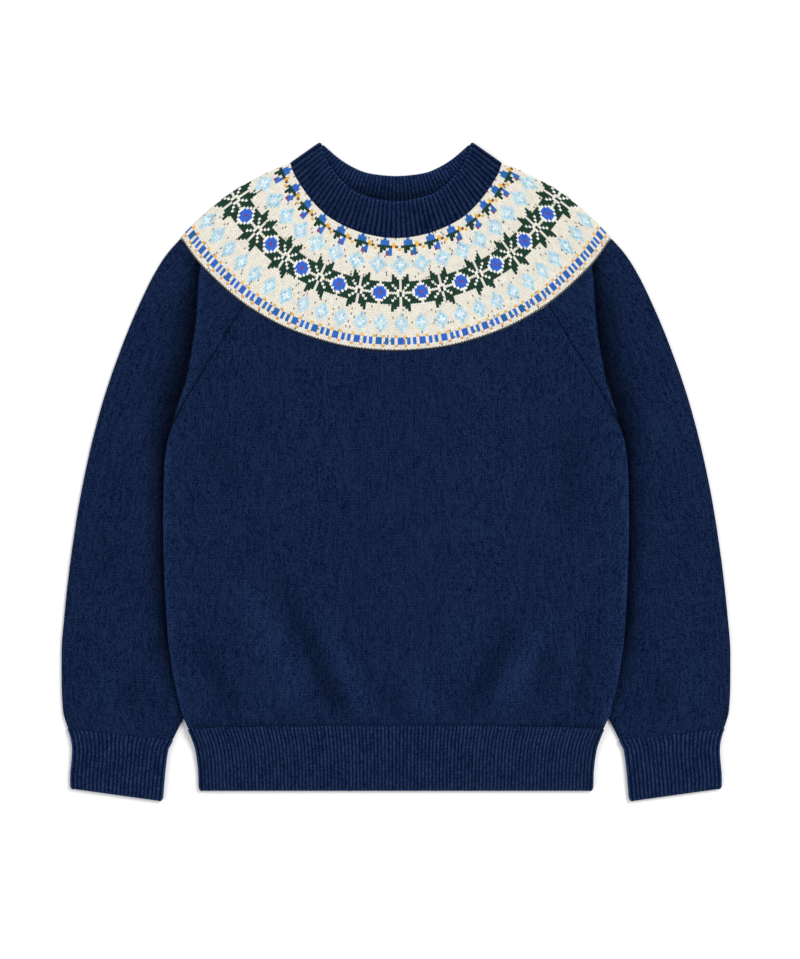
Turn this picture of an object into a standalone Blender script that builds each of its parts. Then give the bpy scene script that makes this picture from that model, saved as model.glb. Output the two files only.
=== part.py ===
"""A child's fair isle sweater that lies flat on its back, in metres with +Z up.

The neck points to +Y and the wearer's left is at +X. Each piece is a closed wall of knitted cloth:
outer points over inner points, in rows of sections. The sleeves lie beside the body on the surface,
with their inner edges under it. Lengths and heights below are in millimetres.
"""

import math
from collections import namedtuple

import bmesh
import bpy

MM = 0.001
PART = "fair_isle_sweater"

# Cloth
WALL = 2.0
LAYER_GAP = 0.4
SEAM_GAP = 0.3
STACK = 2 * WALL + LAYER_GAP
RIB_RISE = 0.7

# Heights
BODY_LIFT = STACK + 0.4
BODY_PUFF = 2.0
BODY_PUFF_REACH = 165.0
BLOUSE_RISE = 1.1
BLOUSE_REACH = 24.0
SLEEVE_PUFF = 1.6
NECK_RISE = RIB_RISE
NECK_CENTRE_Y = 250.0
NECK_RISE_FROM = 130.0
NECK_RISE_TO = 88.0
BAND_CROWN = 0.5

# Ribs on the whole of each visible face
NECK_RIBS = 60
HEM_RIBS = 108
CUFF_RIBS = 22

# Columns of points of half a body row: the back has only some of the front's
FRONT_COLUMNS = 15
BACK_COLUMNS = (0, 2, 4, 6, 8, 10, 11, 12, 13, 14, 15)
SIDE_TURN = (30, 60)
FULL_TURN = (45, 90, 135)

# Body side, from the hem's lower edge to the armpit
Side = namedtuple("Side", "y half_width")
BODY_SIDE = (
    Side(-255.2, 157.4),
    Side(-241.6, 157.8),
    Side(-223.2, 160.0),
    Side(-209.6, 164.3),
    Side(-197.2, 169.6),
    Side(-181.6, 173.9),
    Side(-162.4, 178.4),
    Side(-118.4, 183.6),
    Side(-73.6, 185.6),
    Side(-48.8, 186.2),
    Side(0.0, 185.6),
    Side(24.8, 182.4),
    Side(36.8, 178.8),
)
HEM_BOTTOM_Y = -255.2
HEM_TOP_Y = -203.2
HEM_TOP_SIDE_Y = -205.6

# Where the body's puff grows above the hem and fades towards the neck
PUFF_GROWS_Y = (HEM_TOP_Y, -150.0)
PUFF_FADES_Y = (190.0, 60.0)

# Where the blouse over the hem's seam starts and is fullest
BLOUSE_FOOT = (HEM_TOP_Y - 6.0, HEM_TOP_Y + 8.0)

# How far the sleeve below lifts the front and the back of the body at its side, as a share
Lift = namedtuple("Lift", "y front back")
LIFT_ALONG = (
    Lift(-242.0, 0.0, 0.0),
    Lift(-222.0, 0.45, 0.45),
    Lift(-205.0, 0.93, 0.93),
    Lift(-196.0, 1.0, 1.0),
    Lift(0.0, 1.0, 1.0),
    Lift(9.0, 1.0, 1.0),
    Lift(14.0, 0.97, 0.95),
    Lift(24.8, 0.7, 0.35),
    Lift(36.8, 0.4, 0.0),
    Lift(60.0, 0.26, 0.0),
    Lift(100.0, 0.08, 0.0),
    Lift(135.0, 0.0, 0.0),
)
LIFT_RAMP = {"front": 38.0, "back": 26.0}
LIFT_MARGIN = 5.0
SEATED_Y = 16.0

# Body rows below the armpit, at the centre and at the side
Row = namedtuple("Row", "centre_y side_y")
BODY_ROWS = (
    Row(HEM_TOP_Y, HEM_TOP_SIDE_Y),
    Row(-193.0, -194.0),
    Row(-178.0, -178.0),
    Row(-158.0, -157.0),
    Row(-132.0, -131.0),
    Row(-104.0, -102.0),
    Row(-74.0, -71.0),
    Row(-44.0, -40.0),
    Row(-18.0, -12.0),
    Row(-5.0, 6.0),
    Row(2.0, 14.0),
    Row(9.0, 25.0),
)
BACK_SKIPS = (5, 7)

# The centre of each body row that ends on the raglan seam, from the armpit up
RAGLAN_CENTRE_Y = (18.0, 29.0, 39.5, 50.0, 61.0, 72.5, 84.5)
RAGLAN_TOP_Y = 135.0

# Sleeve rows above the armpit: the raglan seam, the crest of the pleat and the outer fold
Top = namedtuple("Top", "raglan_x raglan_y pleat_x pleat_y outer_y crest")
SLEEVE_TOP = (
    Top(178.8, 36.8, 178.8, 36.8, 58.0, 6.2),
    Top(171.5, 53.0, 173.8, 54.6, 76.0, 6.8),
    Top(164.5, 65.0, 169.5, 68.0, 93.0, 7.0),
    Top(157.0, 77.3, 166.0, 83.0, 113.0, 6.8),
    Top(149.0, 90.5, 162.8, 99.2, 135.0, 6.3),
    Top(140.0, 105.0, 160.2, 117.5, 157.0, 5.7),
    Top(131.0, 120.0, 158.7, 137.0, 174.0, 5.0),
)
RAGLAN_TOP_X = 122.0
PLEAT_TOP_X = 157.0
PLEAT_STEP = 1.6
PLEAT_FOOT_SHARE = 0.05
SLIVER_COLUMNS = (0.0, 0.35, 0.7, 0.9)
SLEEVE_COLUMNS = (0.2, 0.45, 0.72)
SLEEVE_BACK_COLUMNS = (0.7, 0.4, 0.1)
SLIVER_BACK_COLUMNS = (0.8, 0.4)

# Sleeve rows below the armpit, from the cuff up: outer fold, inner fold and the inner fold's height
Lower = namedtuple("Lower", "outer_y inner_y inner_top")
SLEEVE_LOWER = (
    Lower(-205.3, -214.7, STACK),
    Lower(-191.0, -201.5, STACK),
    Lower(-170.0, -181.0, STACK),
    Lower(-145.0, -157.0, STACK),
    Lower(-115.0, -128.0, STACK),
    Lower(-84.0, -98.0, STACK),
    Lower(-54.0, -69.0, STACK),
    Lower(-26.0, -42.0, STACK),
    Lower(0.0, -18.0, STACK),
    Lower(18.0, -1.0, STACK),
    Lower(33.0, 13.0, 4.7),
    Lower(46.0, 25.0, 5.4),
)

# Outer fold of a sleeve and its cuff
Edge = namedtuple("Edge", "y x")
SLEEVE_OUTER = (
    Edge(-253.6, 260.4),
    Edge(-246.4, 260.4),
    Edge(-222.4, 258.8),
    Edge(-210.4, 260.6),
    Edge(-204.8, 263.0),
    Edge(-198.4, 265.4),
    Edge(-182.4, 267.6),
    Edge(-150.4, 268.0),
    Edge(-102.4, 264.4),
    Edge(-38.4, 256.0),
    Edge(9.6, 246.8),
    Edge(57.6, 234.4),
    Edge(105.6, 217.6),
    Edge(137.6, 204.0),
    Edge(169.6, 187.2),
    Edge(187.2, 172.4),
)

# Inner fold of a sleeve and its cuff: between the cuff and the armpit it lies under the body
SLEEVE_INNER = (
    Edge(-263.4, 187.2),
    Edge(-236.0, 184.8),
    Edge(-220.8, 182.4),
    Edge(-218.0, 180.6),
    Edge(-204.0, 173.9),
    Edge(-197.2, 169.6),
    Edge(-181.6, 161.6),
    Edge(-166.4, 157.6),
    Edge(-142.4, 156.0),
    Edge(-102.4, 156.8),
    Edge(-62.4, 159.5),
    Edge(-22.4, 165.0),
    Edge(0.0, 172.5),
    Edge(8.0, 182.0),
    Edge(13.0, 185.8),
    Edge(25.0, 184.4),
    Edge(36.8, 179.1),
)
CUFF_BOTTOM_OUTER_Y = -253.6
CUFF_BOTTOM_INNER_Y = -263.4

# Lines of the yoke and the neckband, from the centre to the shoulder
YOKE_EDGE = (
    (0.0, 96.8), (35.0, 99.4), (62.0, 105.8), (88.0, 115.2), (109.0, 126.2),
    (127.0, 138.3), (145.0, 154.0), (160.6, 170.5), (172.4, 187.2),
)
NECK_BASE_FRONT = (
    (0.0, 187.4), (14.0, 188.6), (30.0, 192.6), (45.2, 199.2), (57.2, 207.2),
    (69.2, 220.0), (80.4, 236.8), (84.3, 247.2),
)
NECK_BASE_BACK = (
    (0.0, 207.4), (20.0, 209.2), (40.0, 215.0), (58.0, 225.0), (74.0, 237.6), (84.3, 247.2),
)
NECK_RIM_FRONT = (
    (0.0, 216.6), (18.4, 219.2), (33.2, 224.8), (45.6, 235.6), (55.2, 248.8), (60.4, 264.0),
)
NECK_RIM_BACK = (
    (0.0, 237.2), (20.8, 239.2), (33.2, 243.6), (45.6, 251.2), (60.4, 264.0),
)
YOKE_ROWS = (0.0, 0.22, 0.48, 0.74, 1.0)
BAND_ROWS = (0.0, 0.5, 1.0)
CUFF_BACK_COLUMNS = (0.75, 0.5, 0.25)
SHOULDER_BOW = 7.0

# Soft folds of the front above the hem: a crest if rise is above 0, or a trough
Fold = namedtuple("Fold", "foot_x foot_y top_x top_y width rise")
FRONT_FOLDS = (
    Fold(-124.0, -196.0, -146.0, -140.0, 9.0, -0.6),
    Fold(-62.0, -196.0, -92.0, -120.0, 9.0, -0.9),
    Fold(-42.0, -190.0, -104.0, -58.0, 12.0, 1.1),
    Fold(20.0, -198.0, 12.0, -150.0, 9.0, 0.6),
    Fold(70.0, -198.0, 96.0, -138.0, 9.0, -0.8),
    Fold(84.0, -190.0, 132.0, -84.0, 11.0, 0.9),
    Fold(108.0, -196.0, 134.0, -132.0, 8.0, -0.6),
    Fold(143.0, 18.0, 132.0, -44.0, 16.0, -0.4),
)

# Colours and finish of the wool: red, green, blue and roughness
NAVY = (0.009, 0.018, 0.053)
RIB_NAVY = (0.008, 0.016, 0.048)
CREAM = (0.79, 0.75, 0.66)
WOOL_ROUGHNESS = 0.9


def between(start, end, share):
    return start + (end - start) * share


def ramp(start, end, value):
    """0 up to start, 1 from end on, and smooth between them."""
    share = min(max((value - start) / (end - start), 0.0), 1.0)
    return share * share * (3 - 2 * share)


def read(table, column, y):
    """A column of a table at y, on a cubic curve that keeps within its rows."""
    if y <= table[0].y:
        return getattr(table[0], column)
    if y >= table[-1].y:
        return getattr(table[-1], column)
    index = max(i for i in range(len(table) - 1) if table[i].y <= y)
    slopes = [slope_at(table, column, i) for i in (index, index + 1)]
    low, high = table[index], table[index + 1]
    step = high.y - low.y
    t = (y - low.y) / step
    return (
        (2 * t**3 - 3 * t**2 + 1) * getattr(low, column)
        + (t**3 - 2 * t**2 + t) * step * slopes[0]
        + (3 * t**2 - 2 * t**3) * getattr(high, column)
        + (t**3 - t**2) * step * slopes[1]
    )


def slope_at(table, column, index):
    """The slope at a row: the harmonic mean of its neighbours' slopes, or 0 where they turn."""
    slopes = []
    for low, high in ((index - 1, index), (index, index + 1)):
        if low < 0 or high >= len(table):
            continue
        rise = getattr(table[high], column) - getattr(table[low], column)
        slopes.append(rise / (table[high].y - table[low].y))
    if len(slopes) == 1:
        return slopes[0]
    if slopes[0] * slopes[1] <= 0:
        return 0.0
    return 2 * slopes[0] * slopes[1] / (slopes[0] + slopes[1])


class Line:
    """A smooth line over the surface through a few points, read by the distance along it."""

    STEPS = 16

    def __init__(self, points):
        self.points = []
        for index in range(len(points) - 1):
            a = points[max(index - 1, 0)]
            b = points[index]
            c = points[index + 1]
            d = points[min(index + 2, len(points) - 1)]
            if index == 0:
                a = (-c[0], c[1])
            for step in range(self.STEPS):
                self.points.append(self.curve(a, b, c, d, step / self.STEPS))
        self.points.append(points[-1])
        self.reach = [0.0]
        for start, end in zip(self.points, self.points[1:]):
            self.reach.append(self.reach[-1] + math.dist(start, end))
        self.length = self.reach[-1]

    @staticmethod
    def curve(a, b, c, d, t):
        found = []
        for k in range(2):
            found.append(
                b[k]
                + 0.5 * t * (c[k] - a[k])
                + t * t * (a[k] - 2.5 * b[k] + 2 * c[k] - 0.5 * d[k])
                + t**3 * (1.5 * b[k] - 1.5 * c[k] + 0.5 * (d[k] - a[k]))
            )
        return tuple(found)

    def at(self, distance):
        index = 0
        while index < len(self.reach) - 2 and self.reach[index + 1] < distance:
            index += 1
        share = (distance - self.reach[index]) / (self.reach[index + 1] - self.reach[index])
        start, end = self.points[index], self.points[index + 1]
        return between(start[0], end[0], share), between(start[1], end[1], share)

    def distance_at_x(self, x):
        index = max(i for i, point in enumerate(self.points[:-1]) if point[0] <= x)
        start, end = self.points[index], self.points[index + 1]
        share = (x - start[0]) / (end[0] - start[0])
        return between(self.reach[index], self.reach[index + 1], share)


def armpit():
    return SLEEVE_TOP[0]


def raglan_x(y):
    """The raglan seam's place across the body at a height above the armpit."""
    seam = [Edge(row.raglan_y, row.raglan_x) for row in SLEEVE_TOP]
    seam.append(Edge(RAGLAN_TOP_Y, RAGLAN_TOP_X))
    return read(seam, "x", y)


def lift(column, x, y):
    """How far the sleeve under the body's side raises the front or the back at a place."""
    seated = ramp(armpit().raglan_y, SEATED_Y, y)
    edge = between(raglan_x(y), read(SLEEVE_INNER, "x", y), seated)
    margin = LIFT_MARGIN * seated
    across = ramp(edge - margin - LIFT_RAMP[column], edge - margin, abs(x))
    return BODY_LIFT * read(LIFT_ALONG, column, y) * across


def fold_height(x, y):
    """The soft folds of the front: each is widest and highest near its foot."""
    height = 0.0
    for fold in FRONT_FOLDS:
        along_x, along_y = fold.top_x - fold.foot_x, fold.top_y - fold.foot_y
        length = math.hypot(along_x, along_y)
        share = ((x - fold.foot_x) * along_x + (y - fold.foot_y) * along_y) / length**2
        aside = ((x - fold.foot_x) * along_y - (y - fold.foot_y) * along_x) / length
        ends = ramp(-0.15, 0.2, share) * ramp(1.1, 0.5, share)
        height += fold.rise * ends * math.exp(-((aside / fold.width) ** 2))
    return height


def front_top(x, y):
    """The upper side of the front layer of the body, the yoke or the neckband."""
    reach = max(1 - (x / BODY_PUFF_REACH) ** 2, 0.0)
    puff = BODY_PUFF * reach * ramp(*PUFF_GROWS_Y, y) * ramp(*PUFF_FADES_Y, y)
    blouse = BLOUSE_RISE * ramp(*BLOUSE_FOOT, y)
    blouse *= ramp(BLOUSE_FOOT[1] + BLOUSE_REACH, BLOUSE_FOOT[1], y)
    from_neck = math.hypot(x, y - NECK_CENTRE_Y)
    neck = NECK_RISE * ramp(NECK_RISE_FROM, NECK_RISE_TO, from_neck)
    return STACK + puff + blouse + neck + lift("front", x, y)


def back_low(x, y):
    return lift("back", x, y)


def upper(x, y, top):
    """A pair of points of a layer that faces up: its outer point and its inner point."""
    return (x, y, top), (x, y, top - WALL)


def under(x, y, low):
    """A pair of points of a layer that faces the surface below."""
    return (x, y, low), (x, y, low + WALL)


def turn(edge, inward, low, high, angles):
    """Pairs of points round a fold, from its upper side at 0 degrees to its lower side at 180."""
    radius = (high - low) / 2
    pairs = []
    for angle in angles:
        sine, cosine = math.sin(math.radians(angle)), math.cos(math.radians(angle))
        pair = []
        for round_radius in (radius, radius - WALL):
            inset = radius - round_radius * sine
            pair.append(
                (
                    edge[0] + inward[0] * inset,
                    edge[1] + inward[1] * inset,
                    (high + low) / 2 + round_radius * cosine,
                )
            )
        pairs.append(tuple(pair))
    return pairs


def direction(start, end):
    length = math.dist(start, end)
    return (end[0] - start[0]) / length, (end[1] - start[1]) / length


def shifted(point, along, distance):
    return point[0] + along[0] * distance, point[1] + along[1] * distance


def edge_stations(columns):
    """Distances along the yoke's edge from the centre to the raglan seam."""
    line = Line(YOKE_EDGE)
    end = line.distance_at_x(RAGLAN_TOP_X)
    return [end * index / FRONT_COLUMNS for index in columns]


def sleeve_stations(front):
    """Distances along the yoke's edge over the sleeve: out to its fold in front, and home behind."""
    line = Line(YOKE_EDGE)
    start = line.distance_at_x(RAGLAN_TOP_X)
    crest = line.distance_at_x(PLEAT_TOP_X) - PLEAT_STEP
    foot = crest + 2 * PLEAT_STEP
    end = line.length - STACK / 2
    sliver = SLIVER_COLUMNS + (1.0,) if front else SLIVER_BACK_COLUMNS
    rest = (0.0,) + SLEEVE_COLUMNS if front else SLEEVE_BACK_COLUMNS
    inner = [between(start, crest, share) for share in sliver]
    outer = [between(foot, end, share) for share in rest]
    return inner + outer if front else outer + inner


def below_yoke(distance, gap):
    """A point of the yoke's edge, moved out of the yoke by a gap."""
    line = Line(YOKE_EDGE)
    here = line.at(distance)
    ahead = direction(line.at(max(distance - 1, 0.0)), line.at(min(distance + 1, line.length)))
    return shifted(here, (ahead[1], -ahead[0]), gap)


def body_rows():
    """Each body row as centre height, side point, share of the yoke's curve, and side turn."""
    rows = []
    for row in BODY_ROWS:
        rows.append((row.centre_y, (read(BODY_SIDE, "half_width", row.side_y), row.side_y), 0.0, 1.0))
    for index, top in enumerate(SLEEVE_TOP):
        share = index / len(SLEEVE_TOP)
        side_turn = 0.5 if index == 0 else 0.0
        rows.append((RAGLAN_CENTRE_Y[index], (top.raglan_x, top.raglan_y), share, side_turn))
    rows[0] = (rows[0][0] + SEAM_GAP / 2, (rows[0][1][0], rows[0][1][1] + SEAM_GAP / 2), 0.0, 1.0)
    return rows


def body_line(row, shares):
    """The points of a body row from the centre to its side, at shares of its width."""
    centre_y, side, curve, side_turn = row
    edge = Line(YOKE_EDGE)
    raglan = edge.at(edge.distance_at_x(RAGLAN_TOP_X))
    points = []
    inset = SEAM_GAP / 2 if side_turn < 1 else 0.0
    for share in shares:
        yoke_y = edge.at(edge.distance_at_x(min(share * RAGLAN_TOP_X, RAGLAN_TOP_X)))[1]
        yoke_rise = (yoke_y - YOKE_EDGE[0][1]) / (raglan[1] - YOKE_EDGE[0][1])
        rise = between(share**3, yoke_rise, curve)
        points.append((share * (side[0] - inset), between(centre_y, side[1], rise)))
    return points


def body_half(row, stations, sign, front):
    """Pairs of points of half a body row, from the centre to the side fold or the raglan seam."""
    line = Line(YOKE_EDGE)
    shares = [line.at(distance)[0] / RAGLAN_TOP_X for distance in stations]
    if row is None:
        points = [below_yoke(distance, SEAM_GAP / 2) for distance in stations]
        side_turn = 0.0
    else:
        side_turn = row[3]
        points = body_line(row, shares)
    edge = points[-1]
    if row is None or side_turn < 1:
        edge = shifted(edge, direction(points[-1], points[-2]), SEAM_GAP / 2)
    low, high = back_low(edge[0], edge[1]), front_top(edge[0], edge[1])
    radius = (high - low) / 2
    inward = direction(edge, points[-2])
    inner_end = shifted(edge, inward, radius)
    pairs = []
    for x, y in points[:-1] + [inner_end]:
        x = x * sign
        if front:
            pairs.append(upper(x, y, front_top(x, y) + fold_height(x, y)))
        else:
            pairs.append(under(x, y, back_low(x, y)))
    gap_angle = math.degrees(math.asin(SEAM_GAP / 2 / radius))
    angles = SIDE_TURN + (90 - gap_angle,)
    if not front:
        angles = tuple(180 - angle for angle in angles)
    rounds = turn(edge, inward, low, high, angles)
    for index, rounded in enumerate(rounds):
        flat = shifted(edge, inward, radius * (1 - (index + 1) / len(rounds)))
        flats = upper(*flat, high) if front else under(*flat, low)
        pair = []
        for flat_point, round_point in zip(flats, rounded):
            pair.append([between(a, b, side_turn) for a, b in zip(flat_point, round_point)])
        pairs.append(tuple((x * sign, y, z) for x, y, z in pair))
    return pairs


def front_rows():
    stations = edge_stations(range(FRONT_COLUMNS + 1))
    rows = []
    for row in body_rows() + [None]:
        left = body_half(row, stations, -1, True)
        right = body_half(row, stations, 1, True)
        rows.append(left[:0:-1] + right)
    return rows


def back_rows():
    """Half of the back, from its side to the centre line."""
    stations = edge_stations(BACK_COLUMNS)
    rows = []
    for index, row in enumerate(body_rows() + [None]):
        if index not in BACK_SKIPS:
            rows.append(body_half(row, stations, 1, False)[::-1])
    return rows


def sleeve_lower_row(row):
    """A closed row of the sleeve tube, round from the middle of its inner fold."""
    inner = (read(SLEEVE_INNER, "x", row.inner_y), row.inner_y)
    outer = (read(SLEEVE_OUTER, "x", row.outer_y), row.outer_y)
    across = direction(inner, outer)
    back = (-across[0], -across[1])
    width = math.dist(inner, outer)
    start = row.inner_top / 2
    end = width - STACK / 2
    high = row.inner_top
    pairs = turn(inner, across, 0.0, high, (90, 60, 30, 0))
    pairs.append(upper(*shifted(inner, across, start + PLEAT_STEP), high))
    pairs.append(upper(*shifted(inner, across, start + 3 * PLEAT_STEP), between(high, STACK, 0.5)))
    for share in SLEEVE_COLUMNS:
        distance = between(start + 3 * PLEAT_STEP, end, share)
        x, y = shifted(inner, across, distance)
        puff = SLEEVE_PUFF * ramp(0.3, 0.6, share) * ramp(60.0, -120.0, y)
        pairs.append(upper(x, y, STACK + puff))
    pairs += turn(outer, back, 0.0, STACK, (0,) + FULL_TURN + (180,))
    for share in SLEEVE_BACK_COLUMNS:
        distance = between(start + 3 * PLEAT_STEP, end, share)
        pairs.append(under(*shifted(inner, across, distance), 0.0))
    return pairs + turn(inner, across, 0.0, high, (180, 135, 90))


def sleeve_upper_row(top):
    """An open row of the sleeve, from the front raglan seam over the outer fold to the back one."""
    raglan = (top.raglan_x, top.raglan_y)
    pleat = (top.pleat_x, top.pleat_y)
    outer = (read(SLEEVE_OUTER, "x", top.outer_y), top.outer_y)
    to_pleat = direction(raglan, pleat)
    start = shifted(raglan, to_pleat, SEAM_GAP / 2)
    crest = shifted(pleat, to_pleat, -min(PLEAT_STEP, math.dist(start, pleat) / 2))
    inward = direction(outer, pleat)
    foot = shifted(pleat, inward, -PLEAT_STEP)
    end = shifted(outer, inward, STACK / 2)
    seam_top = front_top(*raglan)
    pairs = []
    for share in SLIVER_COLUMNS:
        x, y = (between(a, b, share) for a, b in zip(start, crest))
        pairs.append(upper(x, y, between(seam_top, top.crest, ramp(0.0, 1.0, share))))
    pairs.append(upper(*crest, top.crest))
    pairs.append(upper(*foot, between(STACK, top.crest, PLEAT_FOOT_SHARE)))
    for share in SLEEVE_COLUMNS:
        x, y = (between(a, b, share) for a, b in zip(foot, end))
        pairs.append(upper(x, y, STACK))
    pairs += turn(outer, inward, 0.0, STACK, (0,) + FULL_TURN + (180,))
    for share in SLEEVE_BACK_COLUMNS:
        x, y = (between(a, b, share) for a, b in zip(foot, end))
        pairs.append(under(x, y, 0.0))
    for share in SLIVER_BACK_COLUMNS + (0.0,):
        x, y = (between(a, b, share) for a, b in zip(start, crest))
        pairs.append(under(x, y, 0.0))
    return pairs


def sleeve_edge_row():
    """The sleeve's last row, along the yoke's edge."""
    line = Line(YOKE_EDGE)
    gap = SEAM_GAP / 2
    points = [below_yoke(distance, gap) for distance in sleeve_stations(True)]
    points[0] = shifted(points[0], direction(points[0], points[1]), gap)
    pairs = [upper(x, y, front_top(x, y)) for x, y in points]
    outer = below_yoke(line.length, gap)
    inward = direction(outer, points[-1])
    pairs += turn(outer, inward, 0.0, STACK, (0,) + FULL_TURN + (180,))
    back = [below_yoke(distance, gap) for distance in sleeve_stations(False)]
    back.append(points[0])
    return pairs + [under(x, y, 0.0) for x, y in back]


def sleeve_rows():
    rows = [sleeve_lower_row(row) for row in SLEEVE_LOWER]
    pit = armpit()
    inner = Lower(pit.outer_y, pit.raglan_y, pit.crest)
    rows.append(sleeve_lower_row(inner))
    rows += [sleeve_upper_row(top) for top in SLEEVE_TOP[1:]]
    rows.append(sleeve_edge_row())
    return rows


def ribbed(pair, index, outside=True):
    """A pair of points with its upper one raised on every second column of a rib."""
    if index % 2 == 0:
        return pair
    outer, inner = pair
    if outside:
        return (outer[0], outer[1], outer[2] + RIB_RISE), inner
    return outer, (inner[0], inner[1], inner[2] + RIB_RISE)


def cuff_rows():
    """The cuff's closed rows, from its lower edge up to the sleeve."""
    top = SLEEVE_LOWER[0]
    rows = []
    for share in BAND_ROWS:
        inner_y = between(CUFF_BOTTOM_INNER_Y, top.inner_y - SEAM_GAP, share)
        outer_y = between(CUFF_BOTTOM_OUTER_Y, top.outer_y - SEAM_GAP, share)
        inner = (read(SLEEVE_INNER, "x", inner_y), inner_y)
        outer = (read(SLEEVE_OUTER, "x", outer_y), outer_y)
        across = direction(inner, outer)
        back = (-across[0], -across[1])
        start, end = STACK / 2, math.dist(inner, outer) - STACK / 2
        pairs = turn(inner, across, 0.0, STACK, (90, 45))
        columns = 2 * CUFF_RIBS
        for index in range(columns + 1):
            x, y = shifted(inner, across, between(start, end, index / columns))
            pairs.append(ribbed(upper(x, y, STACK), index))
        pairs += turn(outer, back, 0.0, STACK, FULL_TURN + (180,))
        for part in CUFF_BACK_COLUMNS:
            pairs.append(under(*shifted(inner, across, between(start, end, part)), 0.0))
        rows.append(pairs + turn(inner, across, 0.0, STACK, (180, 135, 90)))
    return rows


def hem_rows():
    """Half of the hem rib, from the centre of the front round its side to the centre of the back."""
    rows = []
    columns = HEM_RIBS
    for share in BAND_ROWS:
        centre_y = between(HEM_BOTTOM_Y, HEM_TOP_Y - SEAM_GAP / 2, share)
        side_y = between(HEM_BOTTOM_Y, HEM_TOP_SIDE_Y - SEAM_GAP / 2, share)
        edge = (read(BODY_SIDE, "half_width", side_y), side_y)
        low, high = back_low(*edge), STACK + lift("front", *edge)
        end = edge[0] - (high - low) / 2
        pairs = []
        for index in range(columns):
            x = end * index / columns
            y = between(centre_y, side_y, (x / edge[0]) ** 3)
            pairs.append(ribbed(upper(x, y, STACK + lift("front", x, y)), index))
        pairs += turn(edge, (-1.0, 0.0), low, high, (0,) + FULL_TURN + (180,))
        for index in BACK_COLUMNS[-2::-1]:
            x = end * index / FRONT_COLUMNS
            y = between(centre_y, side_y, (x / edge[0]) ** 3)
            pairs.append(under(x, y, back_low(x, y)))
        rows.append(pairs)
    return rows


def yoke_point(outer, base, distance, row, gap):
    """A point of the yoke between its edge and the neckline, at a distance along the edge."""
    share = distance / outer.length
    edge_point = outer.at(distance)
    base_point = base.at(share * base.length)
    span = math.dist(edge_point, base_point)
    along = between(gap / span, 1 - gap / span, row)
    x = between(edge_point[0], base_point[0], along)
    y = between(edge_point[1], base_point[1], along)
    bow = SHOULDER_BOW * 4 * row * (1 - row) * share**4
    corner, neck = outer.at(outer.length), base.at(base.length)
    shoulder = direction(corner, neck)
    return x + shoulder[1] * bow, y - shoulder[0] * bow


def yoke_rows():
    """Half of the yoke, from its edge to the neckline and from the front round to the back."""
    outer = Line(YOKE_EDGE)
    front, back = Line(NECK_BASE_FRONT), Line(NECK_BASE_BACK)
    gap = SEAM_GAP / 2
    front_stations = edge_stations(range(FRONT_COLUMNS)) + sleeve_stations(True)
    back_stations = sleeve_stations(False) + edge_stations(BACK_COLUMNS)[::-1]
    rows = []
    for row in YOKE_ROWS:
        pairs = []
        for distance in front_stations:
            x, y = yoke_point(outer, front, distance, row, gap)
            pairs.append(upper(x, y, front_top(x, y)))
        edge = yoke_point(outer, front, outer.length, row, gap)
        inward = direction(edge, pairs[-1][0][:2])
        high = front_top(*edge)
        pairs += turn(edge, inward, 0.0, high, (0,) + FULL_TURN + (180,))
        for distance in back_stations:
            pairs.append(under(*yoke_point(outer, back, distance, row, gap), 0.0))
        rows.append(pairs)
    return rows


def band_rows():
    """Half of the neckband, from its base to its rim and from the front round to the back."""
    columns = NECK_RIBS
    fronts = Line(NECK_BASE_FRONT), Line(NECK_RIM_FRONT)
    backs = Line(NECK_BASE_BACK), Line(NECK_RIM_BACK)
    top = STACK + NECK_RISE
    rows = []
    for row in BAND_ROWS:
        crown = BAND_CROWN * 4 * row * (1 - row)

        def point(lines, share):
            base, rim = (line.at(share * line.length) for line in lines)
            along = between(SEAM_GAP / 2 / math.dist(base, rim), 1.0, row)
            return tuple(between(a, b, along) for a, b in zip(base, rim))

        edge = point(fronts, 1.0)
        width = between(fronts[0].length, fronts[1].length, row)
        end = 1 - top / 2 / width
        pairs = []
        for index in range(columns):
            x, y = point(fronts, end * index / columns)
            pairs.append(ribbed(upper(x, y, top + crown), index))
        inward = direction(edge, pairs[-1][0][:2])
        pairs += turn(edge, inward, 0.0, top, (0,) + FULL_TURN + (180,))
        for index in range(columns - 1, -1, -1):
            x, y = point(backs, end * index / columns)
            pairs.append(ribbed(under(x, y, 0.0), index, outside=False))
        rows.append(pairs)
    return rows


def wall_faces(row_count, column_count, closed_rows):
    """Faces of one side of a wall. In closed rows the last column is the first one."""

    def corner(row, column):
        if column == column_count - 1 and row < closed_rows:
            column = 0
        return row * column_count + column

    faces = []
    for row in range(row_count - 1):
        for column in range(column_count - 1):
            faces.append(
                (
                    corner(row, column),
                    corner(row, column + 1),
                    corner(row + 1, column + 1),
                    corner(row + 1, column),
                )
            )
    return faces


def rim_edges(faces):
    """The edges that only one face has, in that face's direction."""
    edges = {}
    for face in faces:
        for start, end in zip(face, face[1:] + face[:1]):
            edges[(start, end)] = True
    return [edge for edge in edges if edge[::-1] not in edges]


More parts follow.
